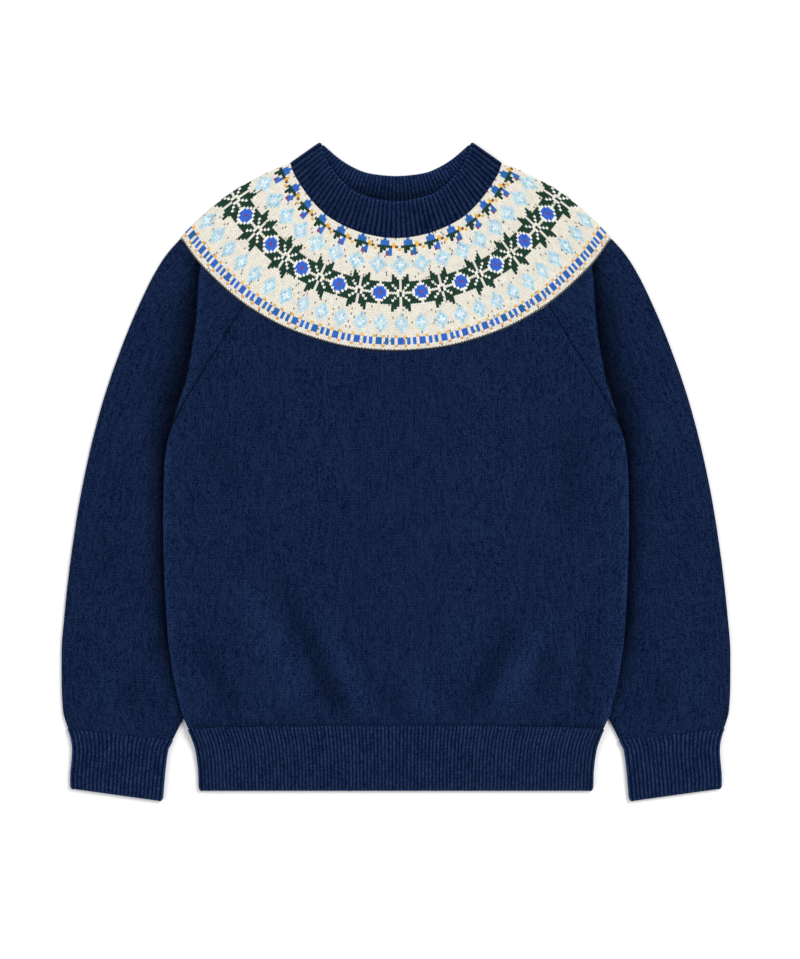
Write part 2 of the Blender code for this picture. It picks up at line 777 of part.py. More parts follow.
def make_wall(collection, name, material, rows, side=1, closed_rows=0, halved=False):
    """One piece of cloth: outer points, inner points and the rim that joins them.

    A halved piece is open at the plane X = 0, where a Mirror modifier adds its other half.
    """
    columns = len(rows[0])
    faces = wall_faces(len(rows), columns, closed_rows)
    mesh_build = bmesh.new()
    sides = []
    for layer in range(2):
        points = [pair[layer] for row in rows for pair in row]
        sides.append(
            [mesh_build.verts.new((x * side * MM, y * MM, z * MM)) for x, y, z in points]
        )
    outer, inner = sides
    made = []
    for face in faces:
        made.append([outer[index] for index in face])
        made.append([inner[index] for index in reversed(face)])
    for start, end in rim_edges(faces):
        at_centre = abs(outer[start].co.x) < 1e-9 and abs(outer[end].co.x) < 1e-9
        if not (halved and at_centre):
            made.append([outer[end], outer[start], inner[start], inner[end]])
    for corners in made:
        mesh_build.faces.new(corners if side > 0 else corners[::-1])
    unused = [vert for vert in mesh_build.verts if not vert.link_faces]
    bmesh.ops.delete(mesh_build, geom=unused, context="VERTS")
    mesh = bpy.data.meshes.new(name)
    mesh_build.to_mesh(mesh)
    mesh_build.free()
    mesh.shade_smooth()
    mesh.set_sharp_from_angle(angle=math.radians(40))
    mesh.materials.append(material)
    piece = bpy.data.objects.new(name, mesh)
    collection.objects.link(piece)
    if halved:
        mirror = piece.modifiers.new("other half", "MIRROR")
        mirror.use_axis[0] = True
        mirror.merge_threshold = 1e-6
    return piece


def wool(name, colour):
    material = bpy.data.materials.new(name)
    material.use_nodes = True
    shader = material.node_tree.nodes["Principled BSDF"]
    shader.inputs["Base Color"].default_value = (*colour, 1.0)
    shader.inputs["Roughness"].default_value = WOOL_ROUGHNESS
    shader.inputs["Metallic"].default_value = 0.0
    return material


def clear_scene():
    for thing in list(bpy.data.objects):
        bpy.data.objects.remove(thing, do_unlink=True)


def main():
    clear_scene()
    parts = bpy.data.collections.new(PART)
    bpy.context.scene.collection.children.link(parts)
    make_wall(parts, "front", wool("front wool", NAVY), front_rows())
    make_wall(parts, "back", wool("back wool", NAVY), back_rows(), halved=True)
    make_wall(parts, "yoke", wool("yoke wool", CREAM), yoke_rows(), halved=True)
    make_wall(parts, "neckband", wool("neckband rib", RIB_NAVY), band_rows(), halved=True)
    make_wall(parts, "hem_rib", wool("hem rib", RIB_NAVY), hem_rows(), halved=True)
    for name, side in (("left", 1), ("right", -1)):
        sleeve = sleeve_rows()
        make_wall(
            parts,
            f"sleeve_{name}",
            wool(f"sleeve wool {name}", NAVY),
            sleeve,
            side,
            closed_rows=len(SLEEVE_LOWER) + 1,
        )
        cuff = cuff_rows()
        make_wall(
            parts, f"cuff_{name}", wool(f"cuff rib {name}", RIB_NAVY), cuff, side, len(cuff)
        )


main()
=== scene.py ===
"""A child's fair isle sweater laid flat on its back, dressed in knitted wool.

The shapes are those of the part's solids, with finer rows and columns, real ribs, stitches and
creases. The neck points to +Y and the wearer's left is at +X. Lengths and heights below are in
millimetres; every mesh is made in metres.
"""

import math
from collections import namedtuple
from itertools import accumulate

import bpy
import numpy as np
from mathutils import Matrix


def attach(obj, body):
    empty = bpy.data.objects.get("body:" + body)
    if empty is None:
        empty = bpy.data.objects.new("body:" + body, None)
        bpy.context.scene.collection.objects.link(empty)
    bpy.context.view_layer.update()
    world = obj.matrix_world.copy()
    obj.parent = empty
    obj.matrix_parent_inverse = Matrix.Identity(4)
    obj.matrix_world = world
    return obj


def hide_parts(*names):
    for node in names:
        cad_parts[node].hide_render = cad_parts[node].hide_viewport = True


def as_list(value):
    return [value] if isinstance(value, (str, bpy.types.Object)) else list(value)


MM = 0.001


def rows_of(kind, *rows):
    return tuple(kind(*row) for row in rows)


# Cloth
WALL = 2.0
LAYER_GAP = 0.4
SEAM_GAP = 0.3
SEAM_TUCK = 0.3
STACK = 2 * WALL + LAYER_GAP

# Heights
BODY_LIFT = STACK + 0.4
BODY_PUFF = 2.0
BODY_PUFF_REACH = 165.0
BLOUSE_RISE = 1.5
BLOUSE_REACH = 20.0
SLEEVE_PUFF = 1.6
PUFF_ACROSS = (0.0, 0.6)
PUFF_EDGE = (1.0, 0.86)
PUFF_ALONG = (60.0, -120.0)
NECK_RISE = 0.7
NECK_CENTRE_Y = 250.0
NECK_RISE_FROM = 130.0
NECK_RISE_TO = 88.0
BAND_HEIGHT = 30.0
CUFF_HEIGHT = 49.0
BAND_CROWN = 0.5

# Ribs: how many show on the whole of each side, how high they stand and how far their grooves sink
NECK_RIBS = 50
HEM_RIBS = 108
CUFF_RIBS = 22
RIB_RISE = 0.95
RIB_SINK = 0.45
RIB_COLUMNS = 8
RIB_POWER = 0.55
RIB_WALL = 0.68
TURN_RIBS = 2
INNER_RIB_RISE = 0.5
EDGE_GROOVE = 0.9
EDGE_GROOVE_WIDTH = 0.3
SHARP_ANGLE = 75

# A stitch of the plain knitting, and one row of it
WALE = 2.52
COURSE = 2.4

# How finely the cloth is divided
BODY_COLUMNS = 54
TURN_ANGLES = (12, 24, 36, 48, 60, 75)
HALF_TURN = tuple(range(0, 181, 15))
BODY_STEPS = 5
SLEEVE_STEPS = 5
BAND_SHARES = (0.0, 0.012, 0.03, 0.055, 0.09) + tuple(step / 14 for step in range(2, 15))
CORNER_ROUND = 1.6
CORNER_SHARE = 0.06

# Body side, from the hem's lower edge to the armpit
Edge = namedtuple("Edge", "y x")
BODY_SIDE = rows_of(
    Edge,
    (-255.2, 157.4), (-241.6, 157.8), (-223.2, 160.0), (-209.6, 164.3), (-197.2, 169.6),
    (-181.6, 173.9), (-162.4, 178.4), (-118.4, 183.6), (-73.6, 185.6), (-48.8, 186.2), (0.0, 185.6),
    (12.0, 184.7), (24.8, 182.8), (36.8, 178.8),
)
HEM_BOTTOM_Y = -255.2
HEM_TOP_Y = -203.2
HEM_TOP_SIDE_Y = -205.6
PUFF_GROWS_Y = (HEM_TOP_Y, -150.0)
PUFF_FADES_Y = (190.0, 60.0)
BLOUSE_FOOT = (HEM_TOP_Y - 3.0, HEM_TOP_Y + 5.0)

# How far the sleeve below lifts the front and the back of the body at its side, as a share
Lift = namedtuple("Lift", "y front back")
LIFT_ALONG = rows_of(
    Lift,
    (-242.0, 0.0, 0.0), (-222.0, 0.45, 0.45), (-205.0, 0.93, 0.93), (-196.0, 1.0, 1.0),
    (0.0, 1.0, 1.0), (9.0, 1.0, 1.0), (14.0, 0.97, 0.95), (24.8, 0.7, 0.35), (36.8, 0.4, 0.0),
    (60.0, 0.26, 0.0), (100.0, 0.08, 0.0), (135.0, 0.0, 0.0),
)
LIFT_RAMP = {"front": 38.0, "back": 26.0}
LIFT_MARGIN = 5.0
SEATED_Y = 16.0

# Body rows below the armpit, at the centre and at the side
Row = namedtuple("Row", "centre_y side_y")
BODY_ROWS = rows_of(
    Row,
    (HEM_TOP_Y, HEM_TOP_SIDE_Y), (-193.0, -194.0), (-178.0, -178.0), (-158.0, -157.0),
    (-132.0, -131.0), (-104.0, -102.0), (-74.0, -71.0), (-44.0, -40.0), (-18.0, -12.0), (-5.0, 6.0),
    (2.0, 14.0), (9.0, 25.0),
)

# The centre of each body row that ends on the raglan seam, from the armpit up
RAGLAN_CENTRE_Y = (18.0, 29.0, 39.5, 50.0, 61.0, 72.5, 84.5)
RAGLAN_TOP_Y = 135.0

# Sleeve rows above the armpit: the raglan seam, the crest of the pleat and the outer fold
Top = namedtuple("Top", "raglan_x raglan_y pleat_x pleat_y outer_y crest")
SLEEVE_TOP = rows_of(
    Top,
    (178.8, 36.8, 178.8, 36.8, 58.0, 6.2), (171.5, 53.0, 173.8, 54.6, 76.0, 6.8),
    (164.5, 65.0, 169.5, 68.0, 93.0, 7.0), (157.0, 77.3, 166.0, 83.0, 113.0, 6.8),
    (149.0, 90.5, 162.8, 99.2, 135.0, 6.3), (140.0, 105.0, 160.2, 117.5, 157.0, 5.7),
    (131.0, 120.0, 158.7, 137.0, 174.0, 5.0),
)
RAGLAN_TOP_X = 122.0
SEAM_OVERLAP = 0.25
SEAM_MET_Y = (20.0, 26.0)
SEAM_DRAWN = 14.0
SEAM_REACH = 2.0
PLEAT_TOP_X = 157.0
PLEAT_STEP = 1.6
SLIVER_COLUMNS = (0.0, 0.13, 0.26, 0.39, 0.52, 0.65, 0.78, 0.9)
PLEAT_COLUMNS = (0.0, 0.25, 0.5, 0.75, 1.0)
SLEEVE_COLUMNS = tuple(step / 24 for step in range(1, 24))

# Sleeve rows below the armpit, from the cuff up: outer fold, inner fold and the inner fold's height
Lower = namedtuple("Lower", "outer_y inner_y inner_top")
SLEEVE_LOWER = rows_of(
    Lower,
    (-205.3, -214.7, STACK), (-191.0, -201.5, STACK), (-170.0, -181.0, STACK),
    (-145.0, -157.0, STACK), (-115.0, -128.0, STACK), (-84.0, -98.0, STACK), (-54.0, -69.0, STACK),
    (-26.0, -42.0, STACK), (0.0, -18.0, STACK), (18.0, -1.0, STACK), (33.0, 13.0, 4.7),
    (46.0, 25.0, 5.4),
)

# Outer fold of a sleeve and its cuff
SLEEVE_OUTER = rows_of(
    Edge,
    (-253.6, 260.4), (-246.4, 260.4), (-222.4, 258.8), (-210.4, 260.6), (-204.8, 263.0),
    (-198.4, 265.4), (-182.4, 267.6), (-150.4, 268.0), (-102.4, 264.4), (-38.4, 256.0),
    (9.6, 246.8), (57.6, 234.4), (105.6, 217.6), (137.6, 204.0), (169.6, 187.2), (187.2, 172.4),
)

# Inner fold of a sleeve and its cuff: between the cuff and the armpit it lies under the body
SLEEVE_INNER = rows_of(
    Edge,
    (-263.4, 187.2), (-236.0, 184.8), (-220.8, 182.4), (-218.0, 180.6), (-204.0, 173.9),
    (-197.2, 169.6), (-181.6, 161.6), (-166.4, 157.6), (-142.4, 156.0), (-102.4, 156.8),
    (-62.4, 159.5), (-22.4, 165.0), (0.0, 172.5), (8.0, 180.6), (13.0, 182.8), (25.0, 181.6),
    (36.8, 179.1),
)
CUFF_BOTTOM_OUTER_Y = -253.6
CUFF_BOTTOM_INNER_Y = -263.4

# Lines of the yoke and the neckband, from the centre to the shoulder
YOKE_EDGE = (
    (0.0, 96.8), (35.0, 99.4), (62.0, 105.8), (88.0, 115.2), (109.0, 126.2),
    (127.0, 138.3), (145.0, 154.0), (160.6, 170.5), (172.4, 187.2),
)
NECK_BASE_FRONT = (
    (0.0, 187.4), (14.0, 188.6), (30.0, 192.6), (45.2, 199.2), (57.2, 207.2),
    (69.2, 220.0), (80.4, 236.8), (84.3, 247.2),
)
NECK_BASE_BACK = (
    (0.0, 207.4), (20.0, 209.2), (40.0, 215.0), (58.0, 225.0), (74.0, 237.6), (84.3, 247.2),
)
NECK_RIM_FRONT = (
    (0.0, 216.6), (18.4, 219.2), (33.2, 224.8), (45.6, 235.6), (55.2, 248.8), (60.4, 264.0),
)
NECK_RIM_BACK = (
    (0.0, 237.2), (20.8, 239.2), (33.2, 243.6), (45.6, 251.2), (60.4, 264.0),
)
SHOULDER_BOW = 7.0

# Soft folds above the hem, front and back, in the body's own millimetres: a crest if rise is
# above 0, or a trough
Fold = namedtuple("Fold", "foot_x foot_y top_x top_y width rise")
FRONT_FOLDS = rows_of(
    Fold,
    (-131.0, -192.0, -154.0, -130.0, 8.0, -1.1), (-106.0, -198.0, -122.0, -150.0, 8.0, 0.5),
    (-76.0, -186.0, -126.0, -82.0, 11.0, 1.2), (-42.0, -199.0, -98.0, -72.0, 8.5, -1.5),
    (-21.0, -198.0, -70.0, -104.0, 9.0, 0.9), (2.0, -200.0, -8.0, -158.0, 7.0, -0.5),
    (24.0, -198.0, 16.0, -150.0, 9.0, 0.7), (46.0, -160.0, 66.0, -104.0, 9.0, 0.6),
    (59.0, -192.0, 100.0, -106.0, 8.0, -1.3), (84.0, -190.0, 128.0, -108.0, 8.5, 1.2),
    (114.0, -184.0, 126.0, -128.0, 6.0, -0.8), (134.0, -188.0, 142.0, -126.0, 7.0, 0.5),
    (148.0, -190.0, 158.0, -112.0, 7.0, -0.9), (141.0, 41.0, 136.0, -56.0, 13.0, -0.7),
    (-146.0, 30.0, -128.0, -34.0, 14.0, -0.5),
)
SLEEVE_FOLDS = rows_of(
    Fold,
    (196.0, 62.0, 214.0, 18.0, 7.0, 0.5), (178.0, 128.0, 192.0, 74.0, 9.0, 0.5),
    (204.0, -196.0, 222.0, -148.0, 9.0, -0.6), (234.0, -192.0, 240.0, -140.0, 8.0, 0.5),
    (236.0, -40.0, 222.0, -96.0, 12.0, -0.4),
)
HIDDEN_FOLD = 0.5
FOLD_FOOT = (-0.15, 0.2)
FOLD_TOP = (1.1, 0.5)

# Rounding of the cloth's open edges, as distance in and share of the thickness, and its ripples
EDGE_ROUNDING = ((0.0, 0.25), (0.35, 0.75), (1.0, 1.0))
RIPPLE_WAVES = 5
RIPPLE_LENGTHS = (26.0, 90.0)
RIPPLE_TILT = 0.5
BODY_RIPPLE = 0.3
BODY_RIPPLE_FADES_Y = (96.0, 40.0)
BODY_SEED = 3
SLEEVE_RIPPLE = 0.25
SLEEVE_SEED = 8
SLEEVE_FADES_Y = ((-205.0, -190.0), (187.0, 150.0))
FOLDS_START = 12.0
RAGLAN_THINNING = (0.25, 0.7, 0.92)

# Marks along the raglan: how many on each side, where, how far inside the seam, and each one's half
# width and half length
MARKS = 9
MARKS_Y = (30.0, 118.0)
MARKS_INSIDE = 8.5
MARK_SIDES = 8
MARK_SIZE = (0.6, 1.8)
MARK_RISE = 0.25
MARK_SLANT = 0.3
# Their navy is darker than the cloth's: painted shade in the narrowed stitches
MARK_SHADED_NAVY = (4, 10, 26)

# The fair isle yoke as a chart. One letter is one stitch of the yarn below, a dot is cream.
YARNS = {
    ".": (227, 223, 212),
    "c": (240, 240, 234),
    "g": (36, 64, 52),
    "b": (60, 110, 190),
    "t": (42, 106, 160),
    "v": (62, 106, 202),
    "l": (156, 202, 226),
    "m": (190, 214, 222),
    "w": (218, 230, 232),
    "y": (230, 180, 84),
    "p": (140, 70, 116),
    "o": (220, 166, 104),
    "n": (112, 84, 52),
}
SPECK = (92, 78, 62)
SPECK_SHARE = 0.07

# How unevenly the yarns are dyed: the palest yarn's whitest share, the spread of light and tint in
# the ground and in the other yarns, and the dyes of the blue one
WHITEST = 0.45
LIGHTER = (0.035, 0.07)
TINTED = (0.01, 0.035)
DYES = (-0.8, 0.6)
FRONT_SEED = 21
BACK_SEED = 22
SPRIG = (
    "...b....",
    "..bbb...",
    "..bbb.y.",
    ".gggggyn",
    "y.gg.b..",
    "..g.bb..",
    "....pb..",
)
SNOWFLAKE = (
    "...l...",
    "..mlm..",
    ".mlwlm.",
    "mlwwwlm",
    ".mlwlm.",
    "..mlm..",
    "...l...",
)
LOWER_SNOWFLAKE = (
    "...l...",
    "..mlm..",
    ".mlwlm.",
    ".lwwwl.",
    ".mlwlm.",
    "..mlm..",
    "...l...",
)
DASHES = (
    "...y...y",
    "bbb.b.b.",
    "bbb.b.b.",
    "bbb.b.b.",
    "...o...o",
    "........",
)
# The stranded yarns draw a block of three together, so the columns of a repeat differ in width
DASH_WIDTHS = (0.74, 0.74, 0.74, 1.2, 1.25, 0.9, 1.25, 1.18)
STAR_REACH = 7
STAR_REPEAT = 16
FLOWER_COLUMN = 8
FLOWER_RING = ((3, 0), (3, 1), (2, 2), (1, 3), (0, 3))

# Bands from the neck down: how many rows, how deep they lie together in even rows, stitches in a
# repeat and repeats all round
Band = namedtuple("Band", "name rows depth repeat repeats")
BANDS = (
    Band("sprigs", 7, 7.1, 8, 28),
    Band("upper flakes", 7, 7.2, 8, 34),
    Band("stars", 15, 14.6, STAR_REPEAT, 21),
    Band("lower flakes", 9, 9.2, 8, 50),
    Band("dashes", 6, 5.6, 8, 50),
)
YOKE_FOOT = 0.45
YOKE_DEPTH = sum(band.depth for band in BANDS) + YOKE_FOOT

# How the stitches narrow towards the shoulders, how far the pattern leans to the wearer's left,
# how high the yoke's and the neckband's back lie, and the rows of the yoke's grid
CENTRE_WIDTH = 0.89
YOKE_LEAN = 4.8
YOKE_REST = 0.7
BAND_REST = 0.95
YOKE_GRID_ROWS = 24

# A leg of a stitch: how far out and up each section of it lies, in stitches, and its half width
# and height as shares. It comes out over the stitch below and goes in under the one above.
Section = namedtuple("Section", "out up half_width height")
LEG = rows_of(
    Section,
    (0.07, -0.64, 0.0, 0.25), (0.15, -0.40, 0.21, 0.95), (0.25, 0.0, 0.26, 1.0),
    (0.33, 0.40, 0.22, 0.72), (0.37, 0.68, 0.0, 0.05),
)
LEG_HEIGHT = 0.62
LEG_SINK = 0.02
LEG_SIZES = (0.94, 1.06)
LEG_SPREAD = 0.06
LEG_WOBBLE = 0.02

# The loop behind a stitch, which closes the cloth between its legs, and how dark its painted shade is
LOOP = ((0.0, -0.66), (0.0, 0.34), (-0.5, -0.34), (-0.5, 0.66), (0.5, -0.34), (0.5, 0.66))
LOOP_FACES = ((2, 0, 1, 3), (0, 4, 5, 1))
LOOP_HEIGHT = 0.1
LOOP_SHADE = 0.66

# A leg's faces: its first point, three sections of three points each and its last point
LEG_POINTS = 11
SPECK_POINTS = (4, 5, 6, 7, 8, 9, 10)
LEG_MIRROR = (0, 3, 2, 1, 6, 5, 4, 9, 8, 7, 10)
LEG_ENDS = ((0, 2, 1), (0, 3, 2), (7, 8, 10), (8, 9, 10))
LEG_SIDES = ((1, 2, 5, 4), (2, 3, 6, 5), (4, 5, 8, 7), (5, 6, 9, 8))

# Each piece laid out flat: its width, all the way round where it is a ring or a tube, and its
# length, its area where it isn't a rectangle, and what it lies on besides the table
SLEEVES = ("sleeve_left", "sleeve_right")
SHEETS = {
    "front": ((0.376, 0.345), 0.112, ("back", *SLEEVES)),
    "back": ((0.376, 0.345), 0.112, SLEEVES),
    "sleeve_left": ((0.225, 0.4), 0.066, ()),
    "sleeve_right": ((0.225, 0.4), 0.066, ()),
    "yoke": ((0.84, 0.091), 0.0655, ()),
    "neckband": ((0.44, 0.03), None, ()),
    "hem_rib": ((0.636, 0.052), None, ()),
    "cuff_left": ((0.155, 0.049), None, ()),
    "cuff_right": ((0.155, 0.049), None, ()),
}

# Painted highlights along the body's side fold and the pleat's crest: shares, and widths in millimetres
EDGE_LIGHT = 0.5
EDGE_WIDTH = 3.2
EDGE_GLOW = 0.1
GLOW_WIDTH = 11.0
CREST_LIGHT = 0.25
CREST_WIDTH = 1.8
CREST_INSIDE = 1.2
CREST_GLOW_WIDTH = 9.0

# Dark along the raglan and hem seams, and painted light on the folds' crests and painted shade in their
# troughs
SEAM_LINE = 0.8
SEAM_SLOPE = 0.8
SEAM_WIDTH = 0.9
SEAM_SHADE = 0.35
HEM_WIDTH = 1.6
FOLD_SHADE = 0.26

# Painted shadow in the dips of a sleeve beside the body and the pleat, and less of it near the cuff
DIP_SHADE = 0.86
DIP_WIDTH = 8.8
DIP_POWER = 1.6
PLEAT_DIP_WIDTH = 19.0
PLEAT_Y = ((0.0, 60.0), (160.0, 120.0))
CUFF_FADE = 0.75
CUFF_FADES_Y = (-120.0, -196.0)

# Hem and cuffs: painted highlight and width at the finished and the sewn edge, as shares of the
# height, painted highlight and width at the side fold, in ribs, and painted shade in the deepest grooves
FINISHED_EDGE = (0.6, 0.025)
SEWN_EDGE = (0.2, 0.06)
TURN_LIGHT = 0.7
TURN_WIDTH = 0.7
GROOVE_SHADE = 0.75

# Neckband, painted light and shade: the front's level, rim highlight and glow, the back's level in
# painted shadow and rim highlight, and where the back comes out of the shadow, as shares of the height
FRONT_BAND = (0.8, 0.75, 0.12)
BACK_BAND = (0.42, 0.8)
BACK_LIT = (0.38, 0.85)
RIM_WIDTH = 0.06
RIM_GLOW = 0.25

# How dark the cloth behind the stitches is at the yoke's lower edge, and how far up, as shares
FOOT_SHADE = 0.2
FOOT_SHARES = (0.014, 0.02)

# The navy knitting: how its stitches slant, how round their sides and ends are, and their mean
STITCH_SLANT = 0.75
STITCH_ROUND = (0.5, 0.4)
STITCH_MEAN = 0.62

# How much painted shade in its stitches and its legs, fibres, heather, clouds and streaks change its tone
STITCH_CONTRAST = 0.5
LEG_CONTRAST = 0.5
FINE_CONTRAST = 4.6
HEATHER_CONTRAST = 0.12
CLOUD_CONTRAST = 0.25
STREAK_CONTRAST = 0.9

# How many grains lie in a metre, and how far apart the streaks are and how short, in stitches
GRAINS_FINE = 1250.0
GRAINS_HEATHER = 260.0
CLOUDS = 24.0
YARN_GRAINS = 1500.0
GROUND_GRAINS = 1200.0
FLOOR_GRAINS = 40.0
STREAK_APART = 7.3
STREAK_COURSES = 0.14

# Painted shade in the grooves between ribs, and the wool's surface: its sheen and the depth of its fibres
# in metres
GROOVE_POWER = 1.6
RIB_GROOVE = 1.0
WOOL_ROUGHNESS = 0.9
WOOL_SHINE = 0.02
SHEEN = 0.06
SHEEN_ROUGHNESS = 0.3
SHEEN_NAVY = (0.45, 0.55, 0.8)
WHITE = (1.0, 1.0, 1.0)
NAVY_DEPTH = 0.00035
YARN_DEPTH = 0.0002
GROUND_DEPTH = 0.0003

# Wool colours, in screen levels
NAVY_DARK = (0, 13, 43)
NAVY_LIGHT = (29, 44, 76)
RIB_DARK = (1, 20, 57)
RIB_LIGHT = (42, 60, 98)
# The navy in painted shade deep in the grooves between ribs
PAINTED_GROOVE_NAVY = (0, 9, 36)
# The cloth behind the yoke's stitches: cream in painted shade, darker than the cream yarn
GROUND_DARK = (176, 170, 153)
GROUND_LIGHT = (210, 206, 191)
PAPER_WHITE = (0.94, 0.94, 0.935)
PAPER_GRAIN = 1.02

# Light and camera, in metres and watts
WORLD_LIGHT = 0.62
CAMERA_LENS = 100.0
SENSOR = 36.0
FRAME_HEIGHT = 0.7672
CAMERA_CENTRE = (0.0032, -0.006, 0.005)
LAMPS = (("key", (2.0, 1.6, 3.8), 2.2, 125.0), ("fill", (-2.4, -0.6, 3.0), 2.4, 28.0))
FLOOR_SIZE = 6.0
FLOOR_DROP = 0.0002


def between(start, end, share):
    return start + (end - start) * share


def ramp(start, end, value):
    """0 up to start, 1 from end on, and smooth between them."""
    share = np.clip((value - start) / (end - start), 0.0, 1.0)
    return share * share * (3 - 2 * share)


def cubic(t, step, low, high, slopes):
    """A cubic between two values a step apart, with the slopes at its ends."""
    return (
        (2 * t**3 - 3 * t**2 + 1) * low
        + (t**3 - 2 * t**2 + t) * step * slopes[0]
        + (3 * t**2 - 2 * t**3) * high
        + (t**3 - t**2) * step * slopes[1]
    )


def read(table, column, y):
    """A column of a table at y, on a cubic curve that keeps within its rows."""
    if y <= table[0].y:
        return getattr(table[0], column)
    if y >= table[-1].y:
        return getattr(table[-1], column)
    index = max(i for i in range(len(table) - 1) if table[i].y <= y)
    slopes = [slope_at(table, column, i) for i in (index, index + 1)]
    low, high = table[index], table[index + 1]
    step = high.y - low.y
    return cubic((y - low.y) / step, step, getattr(low, column), getattr(high, column), slopes)


def slope_at(table, column, index):
    """The slope at a row: the harmonic mean of its neighbours' slopes, or 0 where they turn."""
    near = table[max(index - 1, 0) : index + 2]
    slopes = [
        (getattr(high, column) - getattr(low, column)) / (high.y - low.y)
        for low, high in zip(near, near[1:])
    ]
    if len(slopes) == 1:
        return slopes[0]
    before, after = slopes
    return 2 * before * after / (before + after) if before * after > 0 else 0.0


class Line:
    """A smooth line over the surface through a few points, read by the distance along it."""

    STEPS = 16

    def __init__(self, points):
        before = (-points[1][0], points[1][1])
        knots = (before, *points, points[-1])
        self.points = [
            self.curve(*knots[index : index + 4], step / self.STEPS)
            for index in range(len(points) - 1)
            for step in range(self.STEPS)
        ]
        self.points.append(points[-1])
        lengths = [math.dist(start, end) for start, end in zip(self.points, self.points[1:])]
        self.reach = [0.0, *accumulate(lengths)]
        self.length = self.reach[-1]

    @staticmethod
    def curve(a, b, c, d, t):
        return tuple(
            b[k]
            + 0.5 * t * (c[k] - a[k])
            + t * t * (a[k] - 2.5 * b[k] + 2 * c[k] - 0.5 * d[k])
            + t**3 * (1.5 * b[k] - 1.5 * c[k] + 0.5 * (d[k] - a[k]))
            for k in range(2)
        )

    def at(self, distance):
        return tuple(float(np.interp(distance, self.reach, values)) for values in zip(*self.points))

    def distance_at_x(self, x):
        return float(np.interp(x, [point[0] for point in self.points], self.reach))


YOKE_LINE = Line(YOKE_EDGE)
BASE_LINES = {"front": Line(NECK_BASE_FRONT), "back": Line(NECK_BASE_BACK)}
RIM_LINES = {"front": Line(NECK_RIM_FRONT), "back": Line(NECK_RIM_BACK)}
RAGLAN_DISTANCE = YOKE_LINE.distance_at_x(RAGLAN_TOP_X)
RAGLAN_SEAM = [Edge(row.raglan_y, row.raglan_x) for row in SLEEVE_TOP]
RAGLAN_SEAM.append(Edge(RAGLAN_TOP_Y, RAGLAN_TOP_X))
ARMPIT = SLEEVE_TOP[0]


def lift(column, x, y):
    """How far the sleeve under the body's side raises the front or the back at a place."""
    seated = ramp(ARMPIT.raglan_y, SEATED_Y, y)
    edge = between(read(RAGLAN_SEAM, "x", y), read(SLEEVE_INNER, "x", y), seated)
    margin = LIFT_MARGIN * seated
    across = ramp(edge - margin - LIFT_RAMP[column], edge - margin, abs(x))
    return BODY_LIFT * read(LIFT_ALONG, column, y) * across


def front_top(x, y):
    """The upper side of the front layer of the body, the yoke or the neckband."""
    reach = max(1 - (x / BODY_PUFF_REACH) ** 2, 0.0)
    puff = BODY_PUFF * reach * ramp(*PUFF_GROWS_Y, y) * ramp(*PUFF_FADES_Y, y)
    blouse = BLOUSE_RISE * ramp(*BLOUSE_FOOT, y)
    blouse *= ramp(BLOUSE_FOOT[1] + BLOUSE_REACH, BLOUSE_FOOT[1], y)
    from_neck = math.hypot(x, y - NECK_CENTRE_Y)
    neck = NECK_RISE * ramp(NECK_RISE_FROM, NECK_RISE_TO, from_neck)
    return STACK + puff + blouse + neck + lift("front", x, y)


def back_low(x, y):
    return lift("back", x, y)


def upper(x, y, top):
    """A pair of points of a layer that faces up: its outer point and its inner point."""
    return (x, y, top), (x, y, top - WALL)


def under(x, y, low):
    """A pair of points of a layer that faces the surface below."""
    return (x, y, low), (x, y, low + WALL)


def turn(edge, inward, low, high, angles):
    """Pairs of points round a fold, from its upper side at 0 degrees to its lower side at 180."""
    radius = (high - low) / 2
    pairs = []
    for angle in angles:
        sine, cosine = math.sin(math.radians(angle)), math.cos(math.radians(angle))
        pair = []
        for round_radius in (radius, radius - WALL):
            inset = radius - round_radius * sine
            pair.append(
                (
                    edge[0] + inward[0] * inset,
                    edge[1] + inward[1] * inset,
                    (high + low) / 2 + round_radius * cosine,
                )
            )
        pairs.append(tuple(pair))
    return pairs


def direction(start, end):
    length = math.dist(start, end)
    return (end[0] - start[0]) / length, (end[1] - start[1]) / length


def shifted(point, along, distance):
    return point[0] + along[0] * distance, point[1] + along[1] * distance


def part_way(start, end, share):
    return tuple(between(a, b, share) for a, b in zip(start, end))


def angles_to(end, steps):
    return [end * step / steps for step in range(steps + 1)]


def edge_stations():
    """Distances along the yoke's edge from the centre to the raglan seam."""
    return [RAGLAN_DISTANCE * index / BODY_COLUMNS for index in range(BODY_COLUMNS + 1)]


def sleeve_stations():
    """Distances along the yoke's edge over the front of the sleeve, out to its fold."""
    crest = YOKE_LINE.distance_at_x(PLEAT_TOP_X) - PLEAT_STEP
    foot = crest + 2 * PLEAT_STEP
    end = YOKE_LINE.length - STACK / 2
    inner = [between(RAGLAN_DISTANCE, crest, share) for share in SLIVER_COLUMNS]
    pleat = [between(crest, foot, share) for share in PLEAT_COLUMNS]
    return inner + pleat + [between(foot, end, share) for share in SLEEVE_COLUMNS]


def below_yoke(distance, gap):
    """A point of the yoke's edge, moved out of the yoke by a gap."""
    here = YOKE_LINE.at(distance)
    before = YOKE_LINE.at(max(distance - 1, 0.0))
    after = YOKE_LINE.at(min(distance + 1, YOKE_LINE.length))
    ahead = direction(before, after)
    return shifted(here, (ahead[1], -ahead[0]), gap)


def body_rows():
    """Each body row as centre height, side point, share of the yoke's curve, and side turn."""
    rows = []
    for row in BODY_ROWS:
        rows.append((row.centre_y, (read(BODY_SIDE, "x", row.side_y), row.side_y), 0.0, 1.0))
    for index, top in enumerate(SLEEVE_TOP):
        share = index / len(SLEEVE_TOP)
        side_turn = 0.5 if index == 0 else 0.0
        rows.append((RAGLAN_CENTRE_Y[index], (top.raglan_x, top.raglan_y), share, side_turn))
    rows[0] = (rows[0][0] + SEAM_GAP / 2, (rows[0][1][0], rows[0][1][1] + SEAM_GAP / 2), 0.0, 1.0)
    return rows


